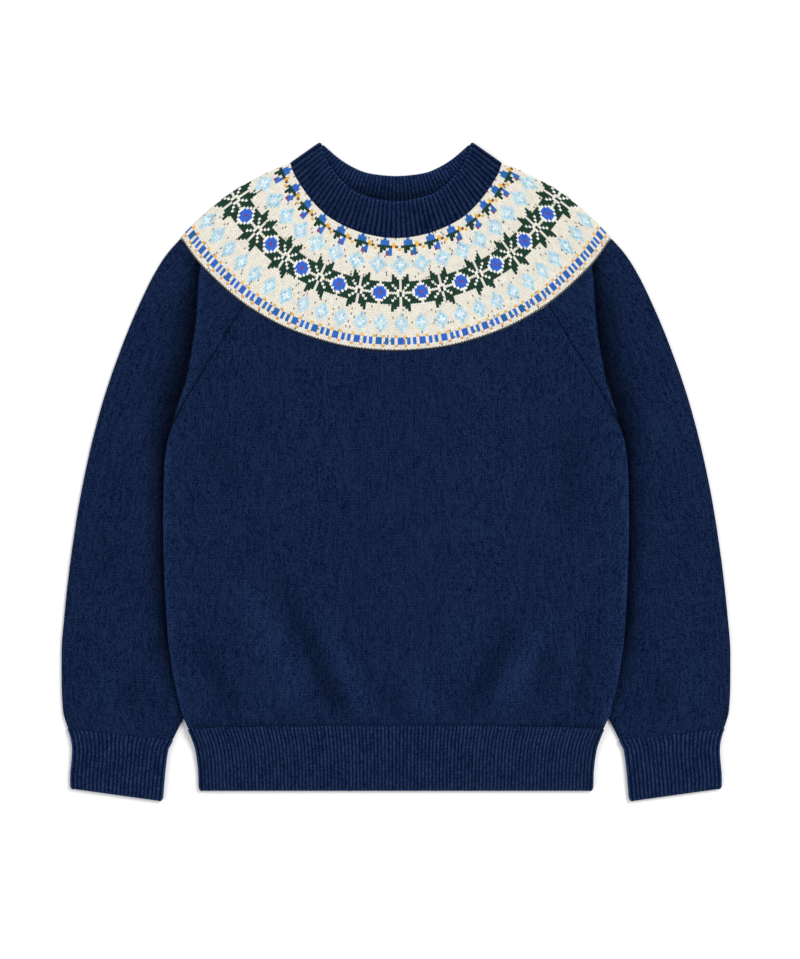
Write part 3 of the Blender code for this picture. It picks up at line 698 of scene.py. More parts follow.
def body_line(row, shares):
    """The points of a body row from the centre to its side, at shares of its width."""
    centre_y, side, curve, side_turn = row
    raglan = YOKE_LINE.at(RAGLAN_DISTANCE)
    points = []
    inset = SEAM_GAP / 2 if side_turn < 1 else 0.0
    for share in shares:
        yoke_y = YOKE_LINE.at(YOKE_LINE.distance_at_x(min(share, 1.0) * RAGLAN_TOP_X))[1]
        yoke_rise = (yoke_y - YOKE_EDGE[0][1]) / (raglan[1] - YOKE_EDGE[0][1])
        rise = between(share**3, yoke_rise, curve)
        points.append((share * (side[0] - inset), between(centre_y, side[1], rise)))
    return points


def body_half(row, front):
    """Pairs of points of half a body row, from the centre to the side fold or the raglan seam."""
    stations = edge_stations()
    if row is None:
        points = [below_yoke(distance, SEAM_GAP / 2) for distance in stations]
        side_turn = 0.0
    else:
        side_turn = row[3]
        points = body_line(row, [YOKE_LINE.at(d)[0] / RAGLAN_TOP_X for d in stations])
    edge = points[-1]
    if side_turn < 1:
        edge = shifted(edge, direction(points[-1], points[-2]), SEAM_GAP / 2)
    low, high = back_low(*edge), front_top(*edge)
    radius = (high - low) / 2
    inward = direction(edge, points[-2])
    pairs = []
    for x, y in points[:-1] + [shifted(edge, inward, radius)]:
        pairs.append(upper(x, y, front_top(x, y)) if front else under(x, y, back_low(x, y)))
    gap_angle = math.degrees(math.asin(SEAM_GAP / 2 / radius))
    angles = TURN_ANGLES + (90 - gap_angle,)
    if not front:
        angles = tuple(180 - angle for angle in angles)
    rounds = turn(edge, inward, low, high, angles)
    for index, rounded in enumerate(rounds):
        flat = shifted(edge, inward, radius * (1 - (index + 1) / len(rounds)))
        flats = upper(*flat, high) if front else under(*flat, low)
        pairs.append(tuple(part_way(*points, side_turn) for points in zip(flats, rounded)))
    return pairs


def sleeve_lower_row(row):
    """A closed row of the sleeve tube, round from the middle of its inner fold."""
    inner = (read(SLEEVE_INNER, "x", row.inner_y), row.inner_y)
    outer = (read(SLEEVE_OUTER, "x", row.outer_y), row.outer_y)
    across = direction(inner, outer)
    back = (-across[0], -across[1])
    high = row.inner_top
    start, end = high / 2, math.dist(inner, outer) - STACK / 2
    first = start + 3 * PLEAT_STEP
    pleat = [shifted(inner, across, start + PLEAT_STEP * between(1, 3, share)) for share in PLEAT_COLUMNS]
    rest = [shifted(inner, across, between(first, end, share)) for share in SLEEVE_COLUMNS]
    quarter = [90 * (1 - index / (len(SLIVER_COLUMNS) - 1)) for index in range(len(SLIVER_COLUMNS))]
    pairs = turn(inner, across, 0.0, high, quarter)
    for place, share in zip(pleat, PLEAT_COLUMNS):
        pairs.append(upper(*place, between(high, STACK, 0.5 * share)))
    for (x, y), share in zip(rest, SLEEVE_COLUMNS):
        puff = SLEEVE_PUFF * ramp(*PUFF_ACROSS, share) * ramp(*PUFF_ALONG, y) * ramp(*PUFF_EDGE, share)
        top = between(between(high, STACK, 0.5), STACK, ramp(0.0, 0.3, share))
        pairs.append(upper(x, y, top + puff))
    pairs += turn(outer, back, 0.0, STACK, HALF_TURN)
    pairs += [under(*place, 0.0) for place in (pleat + rest)[::-1]]
    return pairs + turn(inner, across, 0.0, high, [180 - angle for angle in quarter[::-1]])


def sleeve_upper_row(top):
    """An open row of the sleeve, from the front raglan seam over the outer fold to the back one."""
    raglan = (top.raglan_x, top.raglan_y)
    pleat = (top.pleat_x, top.pleat_y)
    outer = (read(SLEEVE_OUTER, "x", top.outer_y), top.outer_y)
    to_pleat = direction(raglan, pleat)
    start = shifted(raglan, to_pleat, SEAM_GAP / 2)
    crest = shifted(pleat, to_pleat, -min(PLEAT_STEP, math.dist(start, pleat) / 2))
    inward = direction(outer, pleat)
    foot = shifted(pleat, inward, -PLEAT_STEP)
    end = shifted(outer, inward, STACK / 2)
    places, tops = [], []
    for first, last, columns, low, high, rise in (
        (start, crest, SLIVER_COLUMNS, front_top(*raglan), top.crest, (0.0, 1.0)),
        (crest, foot, PLEAT_COLUMNS, top.crest, STACK, (0.1, 1.0)),
        (foot, end, SLEEVE_COLUMNS, STACK, STACK, (0.0, 1.0)),
    ):
        places += [part_way(first, last, share) for share in columns]
        tops += [between(low, high, ramp(*rise, share)) for share in columns]
    pairs = [upper(*place, height) for place, height in zip(places, tops)]
    pairs += turn(outer, inward, 0.0, STACK, HALF_TURN)
    return pairs + [under(*place, 0.0) for place in places[::-1]]


def sleeve_edge_row():
    """The sleeve's last row, along the yoke's edge."""
    gap = SEAM_GAP / 2
    points = [below_yoke(distance, gap) for distance in sleeve_stations()]
    points[0] = shifted(points[0], direction(points[0], points[1]), gap)
    pairs = [upper(x, y, front_top(x, y)) for x, y in points]
    outer = below_yoke(YOKE_LINE.length, gap)
    inward = direction(outer, points[-1])
    pairs += turn(outer, inward, 0.0, STACK, HALF_TURN)
    return pairs + [under(x, y, 0.0) for x, y in points[::-1]]


def yoke_point(side, distance, row, gap):
    """A point of the yoke between its edge and the neckline, at a distance along the edge."""
    base = BASE_LINES[side]
    share = distance / YOKE_LINE.length
    edge_point = YOKE_LINE.at(distance)
    base_point = base.at(share * base.length)
    span = math.dist(edge_point, base_point)
    x, y = part_way(edge_point, base_point, between(gap / span, 1 - gap / span, row))
    bow = SHOULDER_BOW * 4 * row * (1 - row) * share**4
    shoulder = direction(YOKE_LINE.at(YOKE_LINE.length), base.at(base.length))
    return x + shoulder[1] * bow, y - shoulder[0] * bow


def refined(rows, steps):
    """Rows of pairs as an array, with smooth rows between them that keep within their neighbours."""
    points = np.array(rows, float)
    flat = points.reshape(len(rows), -1)
    jumps = np.linalg.norm(np.diff(points[:, :, 0], axis=0), axis=2).mean(axis=1)
    slope = np.diff(flat, axis=0) / jumps[:, None]
    low, high = slope[:-1], slope[1:]
    same = (low * high) > 0
    middle = np.where(same, 2 * low * high / np.where(same, low + high, 1.0), 0.0)
    slopes = np.concatenate((slope[:1], middle, slope[-1:]))
    found = [
        cubic(part / steps, jumps[index], flat[index], flat[index + 1], slopes[index : index + 2])
        for index in range(len(rows) - 1)
        for part in range(steps)
    ]
    return np.array(found + [flat[-1]]).reshape(-1, points.shape[1], 2, 3)


def yoke_half():
    """Half of the yoke's grid, with the share of the way round its edge at each column.

    The share is 0 at the front's centre, 1 at the shoulder's fold and 2 at the back's centre.
    """
    stations = edge_stations()[:-1] + sleeve_stations()
    radius = STACK / 2
    fold = YOKE_LINE.length - radius
    half = fold + radius * math.pi / 2
    reach = stations + [fold + radius * math.radians(angle) for angle in HALF_TURN]
    reach += [2 * half - station for station in stations[::-1]]
    rows = []
    for index in range(YOKE_GRID_ROWS + 1):
        row = index / YOKE_GRID_ROWS
        front = [yoke_point("front", distance, row, SEAM_GAP / 2) for distance in stations]
        pairs = [upper(x, y, front_top(x, y)) for x, y in front]
        edge = yoke_point("front", YOKE_LINE.length, row, SEAM_GAP / 2)
        pairs += turn(edge, direction(edge, front[-1]), YOKE_REST, front_top(*edge), HALF_TURN)
        back = [yoke_point("back", distance, row, SEAM_GAP / 2) for distance in stations[::-1]]
        pairs += [under(x, y, YOKE_REST) for x, y in back]
        rows.append(pairs)
    return np.array(rows, float), np.array(reach) / half


def corner_inset(share):
    """How far a band's side fold is drawn in near its finished edge, which rounds its corner."""
    return CORNER_ROUND * max(1 - share / CORNER_SHARE, 0.0) ** 2


def band_half():
    """Half of the neckband, and its place among the ribs at each column."""
    columns = NECK_RIBS // 2 * RIB_COLUMNS
    angles = angles_to(180, TURN_RIBS * RIB_COLUMNS)
    top = STACK + NECK_RISE
    rows = []
    for share in BAND_SHARES:
        row = 1 - share
        crown = BAND_CROWN * 4 * row * (1 - row)

        def point(side, share):
            base, rim = BASE_LINES[side], RIM_LINES[side]
            foot, head = base.at(share * base.length), rim.at(share * rim.length)
            return part_way(foot, head, between(-SEAM_TUCK / math.dist(foot, head), 1.0, row))

        width = between(BASE_LINES["front"].length, RIM_LINES["front"].length, row)
        edge = point("front", 1 - corner_inset(share) / width)
        end = 1 - (top / 2 + corner_inset(share)) / width
        front = [point("front", end * step / columns) for step in range(columns)]
        pairs = [upper(x, y, top + crown) for x, y in front]
        pairs += turn(edge, direction(edge, front[-1]), BAND_REST, top, angles)
        back = [point("back", end * step / columns) for step in range(columns - 1, -1, -1)]
        pairs += [under(x, y, BAND_REST) for x, y in back]
        rows.append(pairs)
    return ribbed(rows[::-1])


def ribbed(rows):
    """Rows of pairs as an array, and each column's place among the ribs."""
    return np.array(rows, float), np.arange(len(rows[0])) / RIB_COLUMNS


def hem_half():
    """Half of the hem rib, and its place among the ribs at each column."""
    columns = HEM_RIBS // 2 * RIB_COLUMNS
    angles = angles_to(180, TURN_RIBS * RIB_COLUMNS)
    rows = []
    for share in BAND_SHARES:
        centre_y = between(HEM_BOTTOM_Y, HEM_TOP_Y + SEAM_TUCK, share)
        side_y = between(HEM_BOTTOM_Y, HEM_TOP_SIDE_Y + SEAM_TUCK, share)
        edge = (read(BODY_SIDE, "x", side_y) - corner_inset(share), side_y)
        low, high = RIB_RISE + back_low(*edge), STACK + lift("front", *edge)
        end = edge[0] - (high - low) / 2
        places = []
        for step in range(columns):
            x = end * step / columns
            places.append((x, between(centre_y, side_y, (x / edge[0]) ** 3)))
        pairs = [upper(x, y, STACK + lift("front", x, y)) for x, y in places]
        pairs += turn(edge, (-1.0, 0.0), low, high, angles)
        pairs += [under(x, y, RIB_RISE + back_low(x, y)) for x, y in places[::-1]]
        rows.append(pairs)
    return ribbed(rows)


def cuff_ring():
    """The cuff of the wearer's left sleeve, round from the middle of its inner fold."""
    top = SLEEVE_LOWER[0]
    columns = CUFF_RIBS * RIB_COLUMNS
    quarter = angles_to(90, TURN_RIBS * RIB_COLUMNS // 2)
    rows = []
    for share in BAND_SHARES:
        inner_y = between(CUFF_BOTTOM_INNER_Y, top.inner_y + SEAM_TUCK, share)
        outer_y = between(CUFF_BOTTOM_OUTER_Y, top.outer_y + SEAM_TUCK, share)
        inner = (read(SLEEVE_INNER, "x", inner_y) + corner_inset(share), inner_y)
        outer = (read(SLEEVE_OUTER, "x", outer_y) - corner_inset(share), outer_y)
        across = direction(inner, outer)
        back = (-across[0], -across[1])
        start, end = STACK / 2, math.dist(inner, outer) - STACK / 2
        places = [
            shifted(inner, across, between(start, end, step / columns)) for step in range(1, columns)
        ]
        pairs = turn(inner, across, RIB_RISE, STACK, quarter[::-1])
        pairs += [upper(x, y, STACK) for x, y in places]
        pairs += turn(outer, back, RIB_RISE, STACK, quarter + [180 - a for a in quarter[-2::-1]])
        pairs += [under(x, y, RIB_RISE) for x, y in places[::-1]]
        pairs += turn(inner, across, RIB_RISE, STACK, [180 - angle for angle in quarter])
        rows.append(pairs)
    return ribbed(rows)


def other_side(grid):
    other = grid.copy()
    other[..., 0] *= -1
    return other


def mirrored(grid):
    """The same columns on the other side of the middle, in the reverse order."""
    return other_side(grid[:, ::-1])


def whole_ring(half):
    """A ring's columns from its half: once round, with the first column again at the end."""
    return np.concatenate((half, mirrored(half)[:, 1:]), axis=1)


def surface_normals(points, ringed=False):
    """Unit normals of a grid of points, out of the side that its columns run round."""
    if ringed:
        wrapped = np.concatenate((points[:, -2:-1], points, points[:, 1:2]), axis=1)
        across = np.gradient(wrapped, axis=1)[:, 1:-1]
    else:
        across = np.gradient(points, axis=1)
    along = np.gradient(points, axis=0)
    normals = np.cross(across, along)
    return normals / np.maximum(np.linalg.norm(normals, axis=2, keepdims=True), 1e-9)


def add_ribs(grid, phases, inside=None, deep=()):
    """Raises rounded ribs with narrow grooves on the outer points, and on some inner ones.

    A groove whose phase is in deep is cut further in.
    """
    normals = surface_normals(grid[:, :, 0], ringed=True)
    profile = np.abs(np.sin(np.pi * phases)) ** RIB_POWER
    height = (RIB_RISE + RIB_SINK) * profile - RIB_SINK
    height -= EDGE_GROOVE * near_phases(phases, deep)
    grid[:, :, 1] = between(grid[:, :, 0], grid[:, :, 1], RIB_WALL)
    grid[:, :, 0] += normals * height[None, :, None]
    if inside is not None:
        height = ((INNER_RIB_RISE + RIB_SINK) * profile - RIB_SINK) * inside
        grid[:, :, 1] -= normals * height[None, :, None]
    return grid


def near_phases(phases, chosen):
    """1 at the chosen places among the ribs, and 0 away from them."""
    near = np.zeros_like(phases)
    for place in chosen:
        near += np.exp(-(((phases - place) / EDGE_GROOVE_WIDTH) ** 2))
    return near


def soft_edge(grid, values, at_start):
    """Adds rows that round off the cloth at its first or its last row."""
    if not at_start:
        grid, values = grid[::-1], values[::-1]
    first, second = grid[0], grid[1]
    step = np.linalg.norm(second[:, 0] - first[:, 0], axis=1).mean()
    rows, row_values = [], []
    for distance, thickness in EDGE_ROUNDING:
        share = min(distance / step, 0.9)
        row = between(first, second, share)
        middle = row.mean(axis=1, keepdims=True)
        rows.append(middle + (row - middle) * thickness)
        row_values.append(between(values[0], values[1], share))
    grid = np.concatenate((np.array(rows), grid[1:]))
    values = np.concatenate((np.array(row_values), values[1:]))
    return (grid, values) if at_start else (grid[::-1], values[::-1])


def fold_height(folds, x, y):
    """The soft folds at an array of places: each is widest and highest near its foot."""
    height = np.zeros_like(x)
    for fold in folds:
        along_x, along_y = fold.top_x - fold.foot_x, fold.top_y - fold.foot_y
        length = math.hypot(along_x, along_y)
        share = ((x - fold.foot_x) * along_x + (y - fold.foot_y) * along_y) / length**2
        aside = ((x - fold.foot_x) * along_y - (y - fold.foot_y) * along_x) / length
        ends = ramp(*FOLD_FOOT, share) * ramp(*FOLD_TOP, share)
        height += fold.rise * ends * np.exp(-((aside / fold.width) ** 2))
    return height


def ripple(x, y, seed):
    """Slight unevenness of knitted cloth that lies on a table, within about 1."""
    rng = np.random.default_rng(seed)
    height = np.zeros_like(x)
    for _ in range(RIPPLE_WAVES):
        angle = rng.normal(0.0, RIPPLE_TILT)
        length = rng.uniform(*RIPPLE_LENGTHS)
        phase = rng.uniform(0, 2 * math.pi)
        across = x * math.cos(angle) + y * math.sin(angle)
        height += np.sin(2 * math.pi * across / length + phase)
    return height / RIPPLE_WAVES


def rest_folds(folds):
    """The same folds for a hidden side, the other way round and lower."""
    return [
        fold._replace(foot_x=-fold.foot_x, top_x=-fold.top_x, rise=HIDDEN_FOLD * abs(fold.rise))
        for fold in folds
    ]


def quads_of(index):
    """The corners of each face of a grid of numbers."""
    corners = (index[:-1, :-1], index[:-1, 1:], index[1:, 1:], index[1:, :-1])
    return np.stack(corners, axis=-1).reshape(-1, 4)


def wall_faces(rows, columns, closed_rows):
    """Faces by their points and by their places in the knitting: the first rows close to a ring."""
    places = np.arange(rows * columns).reshape(rows, columns)
    points = places.copy()
    points[:closed_rows, -1] = points[:closed_rows, 0]
    return quads_of(points), quads_of(places)


def rim_quads(quads, uv, count):
    """The faces that join the outer and the inner side along every open edge."""
    size = int(quads.max()) + 1
    starts, ends = quads.reshape(-1), np.roll(quads, -1, axis=1).reshape(-1)
    open_edge = ~np.isin(starts * size + ends, ends * size + starts)
    starts, ends = starts[open_edge], ends[open_edge]
    faces = np.stack((ends, starts, starts + count, ends + count), axis=-1)
    starts, ends = uv.reshape(-1)[open_edge], np.roll(uv, -1, axis=1).reshape(-1)[open_edge]
    return faces, np.stack((ends, starts, starts, ends), axis=-1)


def cloth(name, grid, knit, material, slot, shade, closed_rows=0, flip=False):
    """One piece of cloth from its grid of outer and inner points.

    It carries its knitting as a UV map, and as an attribute its painted light and shade and its darker
    seams.
    """
    rows, columns = grid.shape[:2]
    count = rows * columns
    quads, corners = wall_faces(rows, columns, closed_rows)
    rims, rim_corners = rim_quads(quads, corners, count)
    faces = np.concatenate((quads, quads[:, ::-1] + count, rims))
    uv = np.concatenate((corners, corners[:, ::-1], rim_corners))
    if flip:
        faces, uv = faces[:, ::-1], uv[:, ::-1]
    points = np.concatenate((grid[:, :, 0].reshape(-1, 3), grid[:, :, 1].reshape(-1, 3)))
    used = np.zeros(len(points), bool)
    used[faces] = True
    places = np.cumsum(used) - 1
    piece = new_piece(name, points[used], places[faces].tolist(), material, slot)
    mesh = piece.data
    layer = mesh.uv_layers.new(name="knit")
    layer.data.foreach_set("uv", knit.reshape(-1, 2)[uv.reshape(-1)].astype(np.float32).ravel())
    outer, inner = shade if isinstance(shade, tuple) else (shade, shade)
    levels = np.concatenate((outer.ravel(), inner.ravel()))[used]
    attribute = mesh.attributes.new("shade", "FLOAT", "POINT")
    attribute.data.foreach_set("value", levels.astype(np.float32))
    mesh.set_sharp_from_angle(angle=math.radians(SHARP_ANGLE))
    return piece


def linked(name, data):
    made = bpy.data.objects.new(name, data)
    bpy.context.scene.collection.objects.link(made)
    return made


def new_piece(name, points, faces, material, slot):
    """A smooth piece of the sweater from its points in millimetres."""
    mesh = bpy.data.meshes.new(name)
    mesh.from_pydata((points * MM).tolist(), [], faces)
    mesh.shade_smooth()
    mesh.materials.append(material)
    piece = linked(name, mesh)
    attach(piece, "root")
    return piece


def dye(piece, colours):
    """Gives each point of a piece its own colour of yarn."""
    values = np.ones((len(piece.data.vertices), 4), np.float32)
    values[:, :3] = colours
    attribute = piece.data.color_attributes.new("yarn", "FLOAT_COLOR", "POINT")
    attribute.data.foreach_set("color", values.ravel())
    return piece


def meet_seam(half, seam):
    """Draws the side of half a panel out to the sleeve's edge above the armpit."""
    edge = half[:, -1, 0]
    reach = np.interp(edge[:, 1], seam[:, 1], seam[:, 0]) + SEAM_OVERLAP - edge[:, 0]
    reach *= ramp(*SEAM_MET_Y, edge[:, 1])
    side = edge[:, None, None, 0]
    near = ramp(side - SEAM_DRAWN, side, half[..., 0])
    half[..., 0] += np.clip(reach, 0, SEAM_REACH)[:, None, None] * near
    return half


def sleeve_seam(grid, closed, front):
    """The sleeve's inner fold up to the armpit, and its raglan edge from there on."""
    inmost = grid[:closed, :, 0, 0].argmin(axis=1)
    fold = grid[np.arange(closed), inmost, 0]
    return np.concatenate((fold, grid[closed:, 0 if front else -1, 0]))


def above_armpit(y, reach):
    """1 above the armpit and 0 below it, the other way round if reach is below 0."""
    return ramp(ARMPIT.raglan_y - reach, ARMPIT.raglan_y + reach, y)


def flatness(points):
    """1 where a grid of points lies level, and 0 where it turns round a fold."""
    return np.clip(np.abs(surface_normals(points)[..., 2]), 0, 1) ** 4


def body_grid(front, seam):
    """The whole front or back panel with its folds, and its knitting in wales and courses."""
    half = refined([body_half(row, front) for row in body_rows() + [None]], BODY_STEPS)
    half = meet_seam(half, seam)
    grid = np.concatenate((mirrored(half)[:, :-1], half), axis=1)
    if not front:
        grid = grid[:, ::-1]
    x, y = grid[:, :, 0, 0], grid[:, :, 0, 1]
    height = fold_height(FRONT_FOLDS if front else rest_folds(FRONT_FOLDS), x, y)
    if front:
        height += BODY_RIPPLE * ripple(x, y, BODY_SEED) * ramp(*BODY_RIPPLE_FADES_Y, y)
    height = height * flatness(grid[:, :, 0]) * ramp(HEM_TOP_Y, HEM_TOP_Y + FOLDS_START, y)
    if not front:
        height = np.maximum(height, 0.0)
    grid[..., 2] += height[:, :, None]
    edge = np.ones(grid.shape[1])
    edge[:3], edge[-3:] = RAGLAN_THINNING, RAGLAN_THINNING[::-1]
    thickness = between(1.0, edge[None, :], above_armpit(y, 8))
    middle = grid.mean(axis=2, keepdims=True)
    grid = middle + (grid - middle) * thickness[:, :, None, None]
    return both_edges(grid, np.stack((x / WALE, y / COURSE), axis=-1))


def sleeve_grid():
    """The wearer's left sleeve, its knitting along its outer fold, and how many rows are closed."""
    pit = Lower(ARMPIT.outer_y, ARMPIT.raglan_y, ARMPIT.crest)
    rows = [sleeve_lower_row(row) for row in SLEEVE_LOWER + (pit,)]
    rows += [sleeve_upper_row(top) for top in SLEEVE_TOP[1:]] + [sleeve_edge_row()]
    grid = refined(rows, SLEEVE_STEPS)
    outer = grid[:, :, 0]
    x, y = outer[..., 0].copy(), outer[..., 1].copy()
    steps = np.linalg.norm(np.diff(outer, axis=1), axis=2)
    reach = np.concatenate((np.zeros((len(grid), 1)), np.cumsum(steps, axis=1)), axis=1)
    fold = len(SLIVER_COLUMNS + PLEAT_COLUMNS + SLEEVE_COLUMNS) + len(HALF_TURN) // 2
    along = np.linalg.norm(np.diff(outer[:, fold], axis=0), axis=1)
    along = np.concatenate(([0.0], np.cumsum(along)))
    around = reach - reach[:, fold : fold + 1]
    knit = np.stack((around / WALE, reach * 0 + along[:, None] / COURSE), -1)
    facing = np.clip(surface_normals(outer)[..., 2], 0, 1) ** 4
    clear = ramp(*SLEEVE_FADES_Y[0], y) * ramp(*SLEEVE_FADES_Y[1], y)
    height = fold_height(SLEEVE_FOLDS, x, y) + SLEEVE_RIPPLE * ripple(x, y, SLEEVE_SEED)
    grid[..., 2] += (height * facing * clear)[:, :, None]
    closed = len(SLEEVE_LOWER) * SLEEVE_STEPS + len(EDGE_ROUNDING)
    return *both_edges(grid, knit), closed


def table_line(table, column, y):
    """A column of a table at an array of places, read from a fine line through it."""
    levels = np.linspace(table[0].y, table[-1].y, 400)
    return np.interp(y, levels, [read(table, column, level) for level in levels])


def bump(distance, width):
    return np.exp(-((distance / width) ** 2))


def body_shade(points, front):
    """Painted light and shade on the body: highlights along its side fold and on crests, shade in troughs.
    """
    x, y = points[..., 0], points[..., 1]
    inside = table_line(BODY_SIDE, "x", y) - np.abs(x)
    from_seam = (table_line(RAGLAN_SEAM, "x", y) - np.abs(x)) * SEAM_SLOPE
    line = SEAM_LINE * bump(from_seam, SEAM_WIDTH) * above_armpit(y, 4)
    # Painted highlight along the body's side fold, with a wider glow
    edge = EDGE_LIGHT * bump(inside, EDGE_WIDTH) + EDGE_GLOW * bump(inside, GLOW_WIDTH)
    shade = 1 + above_armpit(y, -12) * edge
    folds = FRONT_FOLDS if front else rest_folds(FRONT_FOLDS)
    # Painted light on the folds' crests and painted shade in their troughs
    shade += FOLD_SHADE * fold_height(folds, x, y) * ramp(HEM_TOP_Y, HEM_TOP_Y + 8, y)
    return shade * (1 - SEAM_SHADE * bump(y - HEM_TOP_Y, HEM_WIDTH)) * (1 - line)


def sleeve_shade(points):
    """Painted shade on a sleeve where it dips beside the body's edge or the pleat, a highlight on its
    crest.
    """
    x, y = np.abs(points[..., 0]), points[..., 1]
    crest = [Edge(row.pleat_y, row.pleat_x) for row in SLEEVE_TOP]
    crest.append(Edge(YOKE_LINE.at(YOKE_LINE.distance_at_x(PLEAT_TOP_X))[1], PLEAT_TOP_X))
    above = y >= ARMPIT.raglan_y
    outside = x - np.where(above, table_line(crest, "x", y), table_line(BODY_SIDE, "x", y))
    near_cuff = 1 - CUFF_FADE * ramp(*CUFF_FADES_Y, y)
    width = between(DIP_WIDTH, PLEAT_DIP_WIDTH, ramp(*PLEAT_Y[0], y) * ramp(*PLEAT_Y[1], y))
    # Painted shadow on the sleeve beside the body's edge and the pleat
    dip = DIP_SHADE * near_cuff * np.exp(-((np.maximum(outside, 0) / width) ** DIP_POWER))
    # Painted highlight along the pleat's crest
    crest_light = CREST_LIGHT * bump(outside + CREST_INSIDE, CREST_WIDTH)
    crest_light += EDGE_GLOW * bump(outside, CREST_GLOW_WIDTH)
    shade = np.where((outside <= 0) & (y > ARMPIT.raglan_y), 1 + crest_light, 1 - dip)
    # Painted light on the folds' crests and painted shade in their troughs
    shade = shade + FOLD_SHADE * fold_height(SLEEVE_FOLDS, x, y)
    return np.where(points[..., 2] > STACK / 2, shade, 1.0)


def row_shares(grid):
    """How far up a ring each of its rows lies, as a column of shares."""
    steps = np.linalg.norm(np.diff(grid[:, 0, 0], axis=0), axis=1)
    reach = np.concatenate(([0.0], np.cumsum(steps)))
    return (reach / reach[-1])[:, None]


def rib_shade(grid, phases, deep, folds):
    """Painted light and shade on ribs: highlights at the edges and side folds, shade in deep grooves."""
    share = row_shares(grid)
    finished, sewn = FINISHED_EDGE[0], SEWN_EDGE[0]
    shade = 1 + finished * bump(share, FINISHED_EDGE[1]) + sewn * bump(1 - share, SEWN_EDGE[1])
    across = 1 - GROOVE_SHADE * near_phases(phases, deep)
    for fold in folds:
        across = across + TURN_LIGHT * bump(phases - fold, TURN_WIDTH)
    return shade * across[None, :]


def yoke_shade(grid):
    """The cloth behind the stitches is dark at its lower edge, where the navy shows between them."""
    return between(FOOT_SHADE, 1.0, ramp(*FOOT_SHARES, row_shares(grid))) + np.zeros(grid.shape[:2])


def neck_shade(grid, behind):
    """Painted light and shade on the neckband: lit rims, and its inner face, behind the front's rim, in
    shadow.
    """
    share = row_shares(grid)
    rim = bump(1 - share, RIM_WIDTH)
    front = FRONT_BAND[0] + FRONT_BAND[1] * rim + FRONT_BAND[2] * bump(1 - share, RIM_GLOW)
    back = between(BACK_BAND[0], 1.0, ramp(*BACK_LIT, share)) + BACK_BAND[1] * rim
    blank = np.zeros((1, len(behind)))
    return front + blank, np.where(behind[None, :], back, 1.0)

def star_letter(column, row):
    """One stitch of the eight-petalled star and the round flower between two stars."""
    column = (column + FLOWER_COLUMN) % STAR_REPEAT - FLOWER_COLUMN
    out, up = abs(column), abs(row)
    from_flower = FLOWER_COLUMN - out
    if from_flower == 0 and up == 0:
        return "p"
    if (from_flower <= 2 and up <= 1) or (from_flower <= 1 and up == 2):
        return "v"
    if out == 0 and row in (0, 1):
        return "g"
    upright = 1 <= out <= 3 and out + 1 <= up <= out + 4
    level = 1 <= up <= 4 and up + 1 <= out <= up + 3
    if upright or level or (out, up) == (4, 4):
        return "g"
    bright = 1 <= out == up <= 3 or (from_flower, up) in FLOWER_RING
    return "c" if bright else "."


def chart_letter(band, column, row):
    """The yarn of a stitch, counted from the front's centre and from its band's top."""
    if band.name == "stars":
        return star_letter(column, row - STAR_REACH)
    if band.name == "sprigs":
        return SPRIG[row][column % band.repeat]
    if band.name == "dashes":
        return DASHES[row][(column + 1) % band.repeat]
    flake = SNOWFLAKE if band.name == "upper flakes" else LOWER_SNOWFLAKE
    row -= (band.rows - len(flake)) // 2
    column = (column + band.repeat // 2) % band.repeat
    return flake[row][column - 1] if column >= 1 and 0 <= row < len(flake) else "."


class YokeSurface:
    """Places and normals on the yoke, by the way round from the front's centre and up its rows."""

    def __init__(self):
        self.grid, self.shares = yoke_half()
        self.points = self.grid[:, :, 0]
        self.normals = surface_normals(self.points)

    def at(self, values, ring, row):
        """Values of the grid at arrays of ring shares from -2 to 2 and of rows from 0 to 1."""
        ring = (ring + 2) % 4 - 2
        side = np.where(ring < 0, -1.0, 1.0)
        column = np.interp(np.abs(ring), self.shares, np.arange(len(self.shares)))
        column = np.clip(column, 0, len(self.shares) - 1.001)
        row = np.clip(row, 0, 1) * (len(self.points) - 1.001)
        left, low = column.astype(int), row.astype(int)
        right, up = (column - left)[..., None], (row - low)[..., None]
        found = (
            values[low, left] * (1 - right) * (1 - up)
            + values[low, left + 1] * right * (1 - up)
            + values[low + 1, left] * (1 - right) * up
            + values[low + 1, left + 1] * right * up
        )
        found[..., 0] *= side
        return found


def ring_share(place, stitches):
    """The way round the yoke's edge to a stitch: stitches look narrower towards the shoulders."""
    shares = np.linspace(0, 1, 200)
    counted = shares * (CENTRE_WIDTH + (1 - CENTRE_WIDTH) * shares**2)
    fraction = place / (stitches / 4)
    size = np.abs(fraction)
    share = np.where(size <= 1, np.interp(size, counted, shares), 2 - np.interp(2 - size, counted, shares))
    ring = np.sign(fraction) * share
    lean = YOKE_LEAN / YOKE_LINE.length
    return ring + lean * np.clip(1 - ring**2, 0, 1)


def stitch_place(band, columns, out):
    """Where a point of each stitch lies, counted in stitches of an even width."""
    if band.name != "dashes":
        return columns + out
    phase = (columns + 1) % band.repeat
    widths = np.array(DASH_WIDTHS)
    starts = np.concatenate(([0.0], np.cumsum(widths)[:-1]))
    return columns - phase - 0.5 + starts[phase] + (0.5 + out) * widths[phase]


